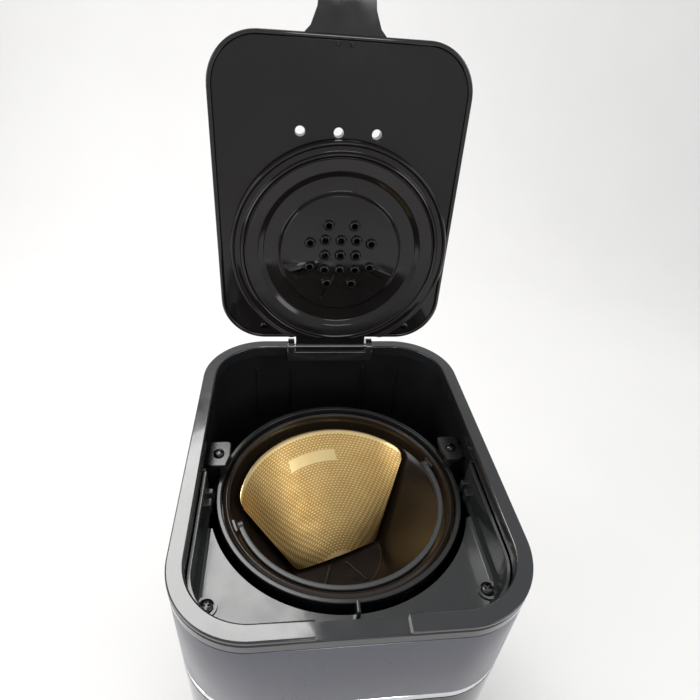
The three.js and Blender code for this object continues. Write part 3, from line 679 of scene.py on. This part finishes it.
# ------------------------------------------------------------------ inside of the head
def make_deck():
    """Plate round the front of the basket, with its upstand, clips, screws and rib."""
    top = RIM_Z - RIM_T - 1.2
    i0, i1 = RIM_W + 0.6, RIM_W + 2.6
    o = prism("deck_insert_v", outline(i0, 20), DECK_Z - 2.5, DECK_Z)
    cut(o, cyl("k", DECK_R, 200, 330, BX, BY, 128), box("k2", -120, 120, DECK_Y, 140, 0, 400))
    # upstand with a hollow fillet into the plate
    arc = [(i1 + 5 * (1 - math.cos(t * PI / 8)),
            DECK_Z - 0.3 + 5 * (1 - math.sin(t * PI / 8))) for t in range(5)]
    s = [(i0, DECK_Z - 2.5), (i0, top), (i0 + 0.5, top), (i1 - 0.4, top),
         (i1, top - 0.5)] + arc + [(i1 + 5, DECK_Z - 2.0)]
    up = band("k", s, -10, 24)
    fin = cut(up, cyl("k2", DECK_R, 200, DECK_Z + 1.2, BX, BY, 128),
              box("k3", -86.5, 86.5, DECK_Y, -9, 280, 400))
    join(o, fin)
    for s in (-1, 1):
        x0, x1 = (85.2, 89) if s > 0 else (-89, -85.2)
        join(o, rslab("k", x0, x1, -24, -18, DECK_Z, DECK_Z + 9, 0.8, 0, 0.6),
             rslab("k2", x0, x1, -14, -10, DECK_Z, DECK_Z + 9, 0.8, 0, 0.6))
        x, y = s * DECK_SCREW_X, DECK_SCREW_Y
        ring = cut(cyl("k", 6.2, DECK_Z - 1, DECK_Z + 1, x, y, 48),
                   cyl("k2", 4.6, DECK_Z - 2, DECK_Z + 2, x, y, 48))
        join(o, both(ring, prism("k3", outline(RIM_W + 1), 280, 300)))
        cut(o, cyl("k", 1.9, 280, 300, x, y, 24), cyl("k2", 4.6, DECK_Z - 0.8, DECK_Z + 0.05, x, y, 48))
    join(o, rslab("k", 0.8, 3.4, -100.5, -92.2, DECK_Z - 1, DECK_Z + 10, 1.1, 0, 1.0))
    # shallow slot beside the rib, for the float arm
    cut(o, rslab("k", -9, 0, -91.6, -90.0, DECK_Z - 1.0, DECK_Z + 1, 0.7, 0, 0))
    bevel(o, 0.3, 2, 50)
    done(smooth_flats(o), "housing", DECKM, "deck_insert", slot="deck_black", sharp=38)
    for s in (-1, 1):
        n = "deck_screw_" + "lr"[s > 0]
        screw(n + "_v", 3.9, DECK_Z + 0.3, DECK_Z + 2.2, s * DECK_SCREW_X, DECK_SCREW_Y, "housing", n,
              shank=DECK_Z - 12, mat=DARK_STEEL)


def make_tank():
    """Water tank: a shell behind and beside the basket, and down the column."""
    t, z1, y0 = 2.0, RIM_Z - RIM_T - 1.2, -9.4
    low, cy = HEAD_Z + 3.6, COL_Y + 3.6

    def shell(i, y1, zb, zt):
        return both(prism("a", outline(3.6 + i, 16), zb, zt), box("b", -120, 120, y1 + i, 130, 0, 400))

    def hole(i, zb, zt=400):
        return cyl("h", DECK_R - 2 + i, zb, zt, BX, BY, 128)
    o = join(cut(shell(0, y0, low, z1), hole(0, 0)), shell(0, cy, 62, low + 1.2))
    o.name = "tank_liner_v"
    cut(o, cut(shell(t, y0, low + t, z1 + 1), hole(t, 0)), shell(t, cy, 64.5, low - 0.8))
    cut(o, cut(shell(t, cy, 64.5, z1 + 1), hole(t, 0)), cyl("k", DECK_R + 1, DECK_Z - 6, 400, BX, BY,
                                                            128))
    for c in (-1, 1):
        b = join(cyl("k", 6.5, 284, 303.6, c * EAR_X, EAR_Y, 32),
                 box("k2", 84 if c > 0 else -95, 95 if c > 0 else -84, 10.5, 23.5, 284, 303.6))
        b = both(cut(b, cyl("k3", DECK_R - 2.6, 0, 400, BX, BY, 128)),
                 prism("k4", outline(3.8), 200, 330))
        join(o, b)
        cut(o, cyl("k", 1.9, 290, 330, c * EAR_X, EAR_Y, 24))
    # faint stiffening ribs on the rear wall
    for x in (-62, -31, 31, 62):
        join(o, both(rslab("k", x - 0.9, x + 0.9, 117.4, 122, 214, 306, 0.6, 0.5, 0.5),
                     prism("k2", outline(4.0), 200, 330)))
    cut(o, cyl("k", 5.2, 60, 70, 40, 94, 32))
    bevel(o, 0.3, 1, 55)
    done(smooth_flats(o), "housing", SATIN, "tank_liner", slot="satin_black", sharp=40)


def make_holder():
    """Bowl that carries the basket, with its collar and two screwed ears."""
    z = RING_Z
    s = [(2.6, 210.2), (75, 210.2, 4), (81.8, 214, 3), (81.8, z - 6, 0.8), (83.7, z - 5.2, 0.6),
         (83.7, z, 0.9), (80.2, z, 0.9), (80.2, 291.2, 0.4), (78.2, 291.2, 0.8),
         (78.2, 216, 3), (74, 212.8, 3), (2.6, 212.8)]
    o = lathe("basket_holder_v", soft(s, 0.3, 4), BX, BY, 160)
    join(o, lathe("k", soft([(12, 202), (17, 202), (17, 211), (12, 211)], 0.6, 2), BX, BY, 64))
    for c in (-1, 1):
        a, b = (76.2, 91) if c > 0 else (-91, -76.2)
        ear = rslab("k", a, b, 6, 29, 304, 307, 3.4, 0.5, 0.6)
        join(ear, rslab("k2", 76.2 if c > 0 else -83, 83 if c > 0 else -76.2, 6, 10.4, z - 3, 306, 1, 0,
                        0))
        both(ear, prism("k3", outline(6.0), 200, 330))
        join(o, ear)
        cut(o, cyl("k", 1.9, 280, 320, c * EAR_X, EAR_Y, 24))
    cut(o, cyl("k", 80.2, 291.2, 320, BX, BY, 160))
    bevel(o, 0.3, 2, 55)
    done(smooth_flats(o), "housing", HOLD, "basket_holder", slot="satin_black", sharp=38)
    for c in (-1, 1):
        n = "ear_screw_" + "lr"[c > 0]
        screw(n + "_v", 3.8, 307.3, 309.2, c * EAR_X, EAR_Y, "housing", n, shank=294, mat=DARK_STEEL)


def make_basket():
    """Lift-out basket with ribs on its floor and ears for the bail."""
    s = [(7, 219), (38.4, 219.6, 2), (73.6, 276.5, 3), (77.2, 281, 2), (77.2, 291.3, 0.6),
         (79.6, 291.3, 0.5), (79.6, 294.6, 0.8), (77, 296, 0.8),
         (75.2, 295, 0.8), (75.2, 282, 2.5), (71.6, 278, 2.5), (36.4, 222, 3), (11, 221.4), (7, 221.2)]
    o = lathe("filter_basket_v", soft(s, 0.3, 4), BX, BY, 160)
    join(o, lathe("k", soft([(5, 216.5), (8.5, 216.5), (8.5, 221.2), (5, 221.2)], 0.4, 2), BX, BY, 48))
    for i in range(6):
        M = Matrix.Translation((BX, BY, 0)) @ Matrix.Rotation((i * 60 + 12) * RAD, 4, "Z")
        join(o, rslab("k", 12, 34, -1, 1, 221, 223.4, 0.9, 0, 0.5, M=M))
    for c in (-1, 1):
        a, b = (72.9, 76.4) if c > 0 else (-76.4, -72.9)
        join(o, both(rslab("k", a, b, -5, 5, BAIL_Z - 6, BAIL_Z + 3.4, 1, 0.5, 0.8, M=TURN_M),
                     cyl("k2", 76.6, 200, 320, BX, BY, 128)))
        cut(o, cyl("k", 1.9, 60 if c > 0 else -76, 76 if c > 0 else -60, seg=24,
                   M=TURN_M @ along("X", 0, 0, BAIL_Z)))
    bevel(o, 0.25, 1, 60)
    done(smooth_flats(o), "basket", BROWN, "filter_basket", slot="satin_black", sharp=38)


def make_bail():
    """Half-ring bail with a pivot at each end, folded down onto the basket."""
    n, r0, r1, h = 64, 69.0, 72.4, 2.4
    sect = soft([(r0, -h), (r1, -h), (r1, h), (r0, h)], 0.7, 3)
    loops = []
    for i in range(n + 1):
        a = PI + PI * i / n
        loops.append([(r * math.cos(a), r * math.sin(a), BAIL_Z + z) for r, z in sect])
    o = loft("basket_bail_v", loops, M=TURN_M)
    for c in (-1, 1):
        M = TURN_M @ along("X", 0, 0, BAIL_Z)
        join(o, cyl("k", 1.5, 70 if c > 0 else -75.6, 75.6 if c > 0 else -70, seg=24, M=M),
             cyl("k2", 3.4, 69.2 if c > 0 else -72.4, 72.4 if c > 0 else -69.2, seg=32, M=M))
    bevel(o, 0.3, 2, 50)
    done(smooth_flats(o), "bail", BAILM, "basket_bail", slot="satin_black", sharp=38)


# mesh filter: radius, half angle and height of its mouth; half width, place and height of its crimp
F_R, F_PHI, F_Z, F_CW, F_CL, F_CZ = 70.6, 72 * RAD, 285.0, 33.5, -4.0, 225.0


def make_filter():
    """Folded sheet from the crimp near the floor to the arched mouth, with its layout in mm as UV."""
    nu, nv, L = 97, 56, []

    def at(sg, k, n):
        ph = sg * F_PHI
        mx, my = (F_R - n) * math.sin(ph), (F_R - n) * math.cos(ph)
        return Vector((F_CW * sg * (1 - k) + mx * k, (F_CL - n) * (1 - k) + my * k,
                       F_CZ + (F_Z - F_CZ) * k))
    verts, faces, uvs = [], [], []
    # rear layer, front layer; they meet along both sides and lie close together at the mouth
    for side in (0, 1):
        for j in range(nv + 1):
            for i in range(nu):
                sg = -1 + 2 * i / (nu - 1)
                gap = math.sqrt(max(0.0, 1 - sg * sg))
                edge = max(0.0, (abs(sg) - 0.88) / 0.12)
                kt = 1 - 0.085 * (1 - math.sqrt(max(0.0, 1 - edge * edge)))
                kb = 0.05 * (1 - math.sqrt(max(0.0, 1 - edge * edge)))
                k = kb + (kt - kb) * j / nv
                n = 0.5 + (0.35 + (1.15 + 0.5 * (1 - k)) * gap) * side
                n += 1.4 * max(0.0, -sg - 0.52) * k * (1 - side * 0.5)
                verts.append(at(sg * 0.992, k, n))
                run = (at(sg, 1, 0) - at(sg, 0, 0)).length
                uvs.append((sg * (F_CW + (F_R * F_PHI - F_CW) * k), 100 - (1 - k) * run + side * 0.4))
    m, tot = nu, nu * (nv + 1)
    for side in (0, 1):
        for j in range(nv):
            for i in range(nu - 1):
                a = side * tot + j * m + i
                faces.append((a, a + 1, a + 1 + m, a + m))
    for j in range(nv):
        for i in (0, nu - 1):
            a = j * m + i
            faces.append((a, a + m, a + m + tot, a + tot))
    for i in range(nu - 1):
        for j in (0, nv):
            a = j * m + i
            faces.append((a, a + 1, a + 1 + tot, a + tot))
    me = bpy.data.meshes.new("mesh_filter_v")
    me.from_pydata([(q.x / 1000, (q.y + SY) / 1000, q.z / 1000) for q in (TURN_M @ v for v in verts)],
                   [], faces)
    uv = me.uv_layers.new(name="sheet")
    for lp in me.loops:
        uv.data[lp.index].uv = uvs[lp.vertex_index]
    bm = bmesh.new()
    bm.from_mesh(me)
    bmesh.ops.recalc_face_normals(bm, faces=bm.faces)
    bm.to_mesh(me)
    bm.free()
    o = bpy.data.objects.new("mesh_filter_v", me)
    SC.collection.objects.link(o)
    done(o, "filter", GOLD, "mesh_filter", slot="gold_mesh", sharp=50)


# ------------------------------------------------------------------ lid, built flat in (u, v, h)
def plan(i, n=16):
    """The lid's plan in (u, v), moved in by i."""
    return rr(LID_W - 2 * i, V1 - V0 - 2 * i, LID_R - i, n, 0, (V0 + V1) / 2)


def make_lid():
    """Lid shell with tongue and neck, inner panel with vents and rings, shower plate with nubs."""
    L = LID_M
    # outer shell: domed edge, 3 mm skirt, rounded lip
    sec = [(3, 4, 1.2), (0, 4, 1.7), (0, -3.6, 4.5), (4.6, -8, 4.5), (14, -8, 0)]
    pts = soft([(3, -5.2, 0)] + sec, 0.5, 6, False)[1:]
    loops = [[(x, y, h) for x, y in plan(i)] for i, h in [(3, -5.2)] + pts]
    o = loft("lid_shell_v", loops, M=L)
    t = [(-30, 220), (30, 220), (25, 226), (21.8, 229.2), (18, 239), (17, 249), (-17, 249), (-18, 239),
         (-21.8, 229.2), (-25, 226)]
    tp = soft([(*p, r) for p, r in zip(t, (0, 0, 4, 4, 6, 1.5, 1.5, 6, 4, 4))], 1, 5)
    inner = prism("i", plan(2.8), -20, 20, M=L)
    tongue = join(prism("k", tp, -1.2, 3.2, M=L), rslab("k2", -17, 17, 246, 249, -1.2, 7, 1.2, 0.4, 0.9,
                                                        M=L))
    join(o, cut(tongue, inner))
    inner = prism("i", plan(2.8), -20, 20, M=L)
    neck = join(cyl("k", 4.6, -28.7, 28.7, seg=48, M=L @ along("X")),
                box("k2", -28.7, 28.7, 0, 13, -4.2, 1.6, M=L))
    join(o, cut(neck, inner))
    cut(o, *[cyl("k", VENT_R, -20, 20, x, VENT_V, 40, M=L) for x in VENTS])
    cut(o, cyl("k", 2.4, -40, 40, seg=24, M=L @ along("X")))
    bevel(o, 0.35, 2, 50)
    done(smooth_flats(o), "lid", GLOSS, "lid_shell", slot="gloss_black", sharp=40)
    # inner panel with the raised round shower housing
    p = slab("lid_liner_v", lambda i: plan(3.1 + i), 0.6, 2.6, 0, 0.35, 3, M=L)
    cut(p, cyl("k", 66, -5, 20, SH_U, SH_V, 160, M=L))
    ring = [(66, 0.6), (72.6, 0.6), (72.6, 6, 1), (77.4, 6, 1), (77.4, 0.6), (79.5, 0.6),
            (79.5, 4.5, 0.6), (80.9, 5.4, 0.8), (80.7, 8.2, 1.0), (79.7, 9.8, 0.8), (78.5, 9.5, 0.8),
            (77.6, 7.8, 1.2), (73.8, 7.8, 1.2), (73, 9.6, 0.8), (72, 10.2, 0.8), (71.2, 9.6, 0.5),
            (71, 3, 0.4), (66, 2.6)]
    join(p, lathe("k", soft(ring, 0.2, 4), SH_U, SH_V, 192, M=L))
    cut(p, box("k", -100, 100, -20, V0 + 3.4, -20, 40, M=L))
    for x in VENTS:
        join(p, cut(cyl("k", 4.9, -4.8, 2.0, x, VENT_V, 40, M=L),
                    cyl("k2", 75, -20, 20, SH_U, SH_V, 96, M=L)))
    # each vent is drawn down into the panel with a soft mouth
    cut(p, *[lathe("k", [(0, -20), (VENT_R, -20), (VENT_R, 0.9), (3.5, 1.8), (3.9, 2.4), (4.6, 2.75),
                         (0, 2.75)], x, VENT_V, 48, M=L, ring=False) for x in VENTS])
    join(p, *[rslab("k", x - 0.9, x + 0.9, 218.6, 221.8, 2, 7, 0.8, 0, 0.7, M=L) for x in (-4.4, 4.4)])
    cut(p, *[cyl("k", 1.9, -5, 6, x, LID_SCREW_V, 24, M=L) for x in LID_SCREWS])
    bevel(p, 0.25, 2, 55)
    done(smooth_flats(p), "lid", LIDIN, "lid_liner", slot="gloss_black", sharp=38)
    for x in LID_SCREWS:
        n = "lid_screw_" + "lr"[x > 0]
        screw(n + "_v", 2.7, 2.9, 4.2, x, LID_SCREW_V, "lid", n, M=L, shank=-3, mat=DARK_STEEL)
    # dished shower plate with drip nubs
    top = [(0.0, 7.6, 0), (44, 7.6, 0.8), (46.5, 4.6, 1.6), (57, 5, 2.5), (60.5, 7.4, 3), (69.4, 9, 0.5),
           (70.2, 9.4, 0.4), (70.6, 9.1, 0.3), (70.6, 3.4, 0.3), (69, 3.4, 0.3),
           (69, 7.4, 1), (61, 5.6, 3), (57.8, 3.2, 3), (45.6, 2.8, 1), (43.2, 5.6, 1), (0.0, 5.6, 0)]
    d = lathe("shower_plate_v", soft(top, 0.5, 5, False), SH_U, SH_V, 160, M=L, ring=False)
    pitch = 11.6
    hs = [(i * pitch, j * pitch) for i in (-1, 0, 1) for j in (-1, 0, 1)]
    hs += [(24.6 * math.cos((22.5 + 45 * k) * RAD),
            24.6 * math.sin((22.5 + 45 * k) * RAD)) for k in range(8)]
    nub = [(0.0, 6.6), (4.3, 7.6), (3.95, 8.0), (3.72, 8.7), (3.66, 9.4), (3.45, 10.0), (3.05, 10.35),
           (2.7, 10.4), (0.0, 10.4)]
    join(d, *[lathe("k", nub, SH_U + x, SH_V + y, 28, M=L, ring=False) for x, y in hs])
    cut(d, *[lathe("k", [(0, 2), (1.9, 2), (1.9, 9.3), (2.1, 9.9), (2.6, 10.6), (0, 10.6)], SH_U + x,
                   SH_V + y, 24, M=L, ring=False) for x, y in hs])
    done(smooth_flats(d), "lid", LIDIN, "shower_plate", slot="gloss_black", sharp=38)
    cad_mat("lid_channel", SATIN)


# ------------------------------------------------------------------ plate, panel and small parts
def make_plate():
    """Warming plate and gasket; materials for the parts inside."""
    s = [(0, 50.6), (54, 50.6), (57.5, 49, 0.8), (60.5, 49, 0.4), (60.5, 51.4, 0.8), (58.6, 52.9, 0.8),
         (56, 53, 0.8), (54, 52.2, 0.8), (0, 52.2)]
    o = lathe("warming_plate_v", soft(s, 0.2, 4, False), BX, BY, 128, ring=False)
    done(o, "housing", ENAMEL, "warming_plate", slot="plate_enamel")
    s = [(60.9, 45.6), (64.5, 45.6), (64.5, 46.6), (62.1, 46.8), (62.1, 50.3), (63.6, 50.4),
         (63.6, 51.6), (60.9, 51.6)]
    done(lathe("plate_gasket_v", soft(s, 0.3, 2), BX, BY, 128), "housing", RUBBER, "plate_gasket",
         slot="rubber_black")
    for n, m in (("heater_tube", STEEL), ("heater_clamp", STEEL), ("thermostat", SILICONE),
                 ("thermal_fuse", SILICONE), ("check_valve", SILICONE),
                 ("inlet_hose", SILICONE), ("riser_hose", SILICONE), ("control_board", BOARD),
                 ("power_board", BOARD)):
        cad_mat(n, m)


BUTTONS = [(13, 33), (31, 33), (13, 22), (31, 22)]


def make_controls():
    """Control panel with a blank display and four plain buttons."""
    p = rslab("control_panel_v", -53.6, 53.6, 14.4, 41.6, 0, 2.7, 2.6, 0.8, 0.0, M=along_y(PANEL_Y))
    cut(p, rslab("k", -40, 0, 19, 37, -2, 5, 2, 0, 0, M=along_y(PANEL_Y)),
        *[ycyl("k", 4.4, -128, -120, x, z, 40) for x, z in BUTTONS])
    bevel(p, 0.3, 2, 50)
    done(smooth_flats(p), "housing", SATIN, "control_panel", slot="gloss_black")
    q = rslab("display_lens_v", -39.6, -0.4, 19.4, 36.6, 0, 1.9, 1.7, 0.35, 0, M=along_y(-124.5))
    done(q, "housing", LENS, "display_lens", slot="dark_lens")
    for i, (x, z) in enumerate(BUTTONS):
        s = [(0.0, -125.35), (2.2, -125.4), (3.2, -125.6), (3.75, -125.5), (4.0, -125.1), (4.0, -121.6),
             (5.2, -121.6), (5.2, -119.6), (0.0, -119.6)]
        b = lathe("button_%d_v" % (i + 1), s, seg=48, M=along("Y", x, 0, z), ring=False)
        done(b, "button_%d" % (i + 1), SATIN, "button_%d" % (i + 1), slot="satin_black")


SPRING_TURN = 9.5 * PI                # how far the coil turns


def make_valve():
    """Drip stop: stem and spring."""
    s = [(0.0, 193.4), (8.2, 193.4), (8.6, 193.9), (8.6, 195.7), (8.2, 196.2), (2.0, 196.2),
         (2.0, 215.6), (3.9, 215.6), (3.9, 217.4), (3.5, 217.8), (0.0, 217.8)]
    done(lathe("valve_stem_v", s, BX, BY, 48, ring=False), "valve", SATIN, "valve_stem",
         slot="satin_black")
    # the spring is held at its top, on the housing, and is given a mesh of its own
    coil = [(BX + 4.2 * math.cos(a), BY + 4.2 * math.sin(a), 197.3 + 11.8 * a / SPRING_TURN)
            for a in (SPRING_TURN * i / 240 for i in range(241))]
    wire = [(0.6 * math.cos(PI * i / 6), 0.6 * math.sin(PI * i / 6)) for i in range(12)]
    o = done(sweep("valve_spring_v", coil, wire), "housing", STEEL, "valve_spring", slot="plain_steel")
    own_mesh(o)
    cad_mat("valve_seal", SILICONE)


# ------------------------------------------------------------------ carafe
def make_carafe():
    """Glass jug with collar, handle, band and lid."""
    out = [(0, 0), (44, 0, 4), (58, 3, 8), (64.5, 13, 12), (67, 28, 16), (66, 46, 20), (60, 66, 24),
           (52, 84, 16), (47.4, 97, 8), (46.4, 104, 5), (48.4, 111.6, 0.8)]
    inn = [(46.2, 111.6, 0.8), (44.0, 104, 5), (45.0, 97, 8), (49.6, 84, 16), (57.6, 66, 24),
           (63.6, 46, 20), (64.6, 28, 16), (62.2, 14.4, 10), (56.2, 5.4, 6), (44, 2.4, 4), (0, 2.4)]
    s = soft([(p[0], p[1] + CZ, *p[2:]) for p in out + inn], 0.5, 5, False)
    g = lathe("carafe_glass_v", s, BX, BY, 128, ring=False)
    done(g, "carafe", GLASS, "carafe_glass", slot="clear_glass", sharp=60)
    s = [(49, 100, 0.3), (51.4, 100, 0.8), (51.8, 118, 1.0), (50.4, 119, 0.5), (49, 118, 0.4)]
    c = lathe("carafe_collar_v", soft([(a, b + CZ, r) for a, b, r in s], 0.4, 4), BX, BY, 128)
    join(c, rslab("k", -7, 7, BY - 57, BY - 50.4, CZ + 101, CZ + 117, 1.5, 1, 1))
    done(smooth_flats(bevel(c, 0.3, 2, 50)), "carafe", GLOSS, "carafe_collar", slot="gloss_black")
    # handle: an outline in (y, z) swept sideways with rounded edges
    h = [(-57.4, 120, 1.5), (-107, 120, 13), (-107.4, 106, 6), (-101, 50, 8), (-98, 36, 10),
         (-80, 36, 3), (-80, 47, 3), (-89, 48.5, 6), (-91.4, 58, 6), (-95.6, 98, 8), (-95.2, 106, 7),
         (-57.4, 106, 1.5)]
    prof = soft(h, 2, 6)

    def offset(pts, d):
        out_ = []
        for i in range(len(pts)):
            a, b = Vector(pts[i - 1]), Vector(pts[(i + 1) % len(pts)])
            t = (b - a).normalized()
            out_.append((pts[i][0] - t.y * d * ccw, pts[i][1] + t.x * d * ccw))
        return out_
    area = sum(prof[i - 1][0] * prof[i][1] - prof[i][0] * prof[i - 1][1] for i in range(len(prof)))
    ccw = 1 if area > 0 else -1
    loops = []
    e = 3.2
    steps = [(math.sin(PI / 2 * j / 5), math.cos(PI / 2 * j / 5)) for j in range(6)]
    for sn, cs in steps:
        loops.append([(-9 + e * (1 - sn), BY + y, CZ + z) for y,
                      z in offset(prof, e * (1 - math.cos(math.asin(min(1, cs)))))])
    loops += [[(-p[0], p[1], p[2]) for p in lp] for lp in loops[::-1]]
    o = loft("carafe_handle_v", loops)
    done(o, "carafe", GLOSS, "carafe_handle", slot="gloss_black", sharp=50)
    b = lathe("carafe_band_v", soft([(67.5, CZ + 38), (68.6, CZ + 38), (68.6, CZ + 46), (67.5, CZ + 46)],
                                    0.35, 3), BX, BY, 128)
    join(b, rslab("k", -7, 7, BY - 79.5, BY - 68, CZ + 38, CZ + 46, 1.2, 0.6, 0.6))
    done(smooth_flats(bevel(b, 0.25, 2, 50)), "carafe", CHROME, "carafe_band", slot="bright_trim")
    s = [(6, 120, 0.4), (30, 121, 4), (51, 120, 0.4), (52.4, 121.5, 0.6), (52, 124, 1.2), (34, 133, 8),
         (14, 134, 2), (11, 131, 1), (6, 130.4, 0.4)]
    k = lathe("carafe_lid_v", soft([(a, z + CZ, r) for a, z, r in s], 0.3, 5), BX, BY, 128)
    join(k, rslab("k", -8, 8, BY - 60, BY - 48, CZ + 121.4, CZ + 124, 2.5, 0.8, 0.8))
    done(smooth_flats(bevel(k, 0.3, 2, 50)), "carafe", SATIN, "carafe_lid", slot="gloss_black")


# ------------------------------------------------------------------ camera, floor and light
def make_stage():
    """Camera, floor, lights and world."""
    cam = bpy.data.cameras.new("camera")
    cam.lens, cam.sensor_width, cam.clip_start = 26.62, 36.0, 0.01
    co = bpy.data.objects.new("camera", cam)
    yaw, pitch, roll = 0.151, -0.607, 0.084
    f = Vector((math.sin(yaw) * math.cos(pitch), math.cos(yaw) * math.cos(pitch), math.sin(pitch)))
    r = f.cross(Vector((0, 0, 1))).normalized()
    u = r.cross(f)
    r2, u2 = r * math.cos(roll) + u * math.sin(roll), u * math.cos(roll) - r * math.sin(roll)
    m = Matrix((r2, u2, -f)).transposed().to_4x4()
    m.translation = (-0.0373, -0.2500, 0.5807)
    co.matrix_world = m
    SC.collection.objects.link(co)
    SC.camera = co
    # floor with a gentle rise at the back
    prof = [(-2.6, 0), (0.7, 0), (1.0, 0.03), (1.25, 0.13), (1.4, 0.32), (1.46, 0.6), (1.48, 2.2)]
    vs, fs = [], []
    for y, z in prof:
        vs += [(-2.8, y, z), (2.8, y, z)]
    for i in range(len(prof) - 1):
        fs.append((2 * i, 2 * i + 1, 2 * i + 3, 2 * i + 2))
    me = bpy.data.meshes.new("floor")
    me.from_pydata(vs, [], fs)
    fl = bpy.data.objects.new("floor", me)
    SC.collection.objects.link(fl)
    for p in me.polygons:
        p.use_smooth = True
    md = fl.modifiers.new("s", "SUBSURF")
    md.levels = md.render_levels = 2
    m = Mat("pale_floor")
    m.link(m.ramp(m.noise(3, 3), (0.3, (0.80, 0.79, 0.78)), (0.7, (0.83, 0.82, 0.81))),
           m.b.inputs["Base Color"])
    m.put(Roughness=0.65)
    me.materials.append(m.m)

    def area(name, loc, aim, size, power, col=(1, 1, 1)):
        ld = bpy.data.lights.new(name, "AREA")
        ld.shape, ld.size, ld.size_y, ld.energy, ld.color = "RECTANGLE", size[0], size[1], power, col
        lo_ = bpy.data.objects.new(name, ld)
        lo_.location = loc
        lo_.rotation_euler = (Vector(aim) - Vector(loc)).to_track_quat("-Z", "Y").to_euler()
        SC.collection.objects.link(lo_)
    area("key", (-0.34, 0.70, 1.50), (-0.06, -0.08, 0.3), (0.62, 0.72), 13, (1.0, 0.995, 0.985))
    area("side", (-1.4, -0.45, 0.85), (0, -0.05, 0.3), (0.9, 0.9), 8, (0.98, 0.99, 1.0))
    area("fill", (1.5, -0.9, 1.2), (0, 0, 0.25), (0.9, 0.9), 9, (0.96, 0.98, 1.0))
    area("front", (0.15, -1.5, 0.9), (0, 0, 0.35), (0.35, 0.35), 3.0)
    w = bpy.data.worlds.new("studio")
    w.use_nodes = True
    bg = w.node_tree.nodes["Background"]
    bg.inputs["Color"].default_value = (0.86, 0.87, 0.88, 1)
    bg.inputs["Strength"].default_value = 0.75
    SC.world = w
    SC.view_settings.view_transform = "Standard"


make_stage()
make_base()
make_housing()
make_rim()
make_deck()
make_tank()
make_holder()
make_basket()
make_bail()
make_filter()
make_lid()
make_plate()
make_controls()
make_valve()
make_carafe()
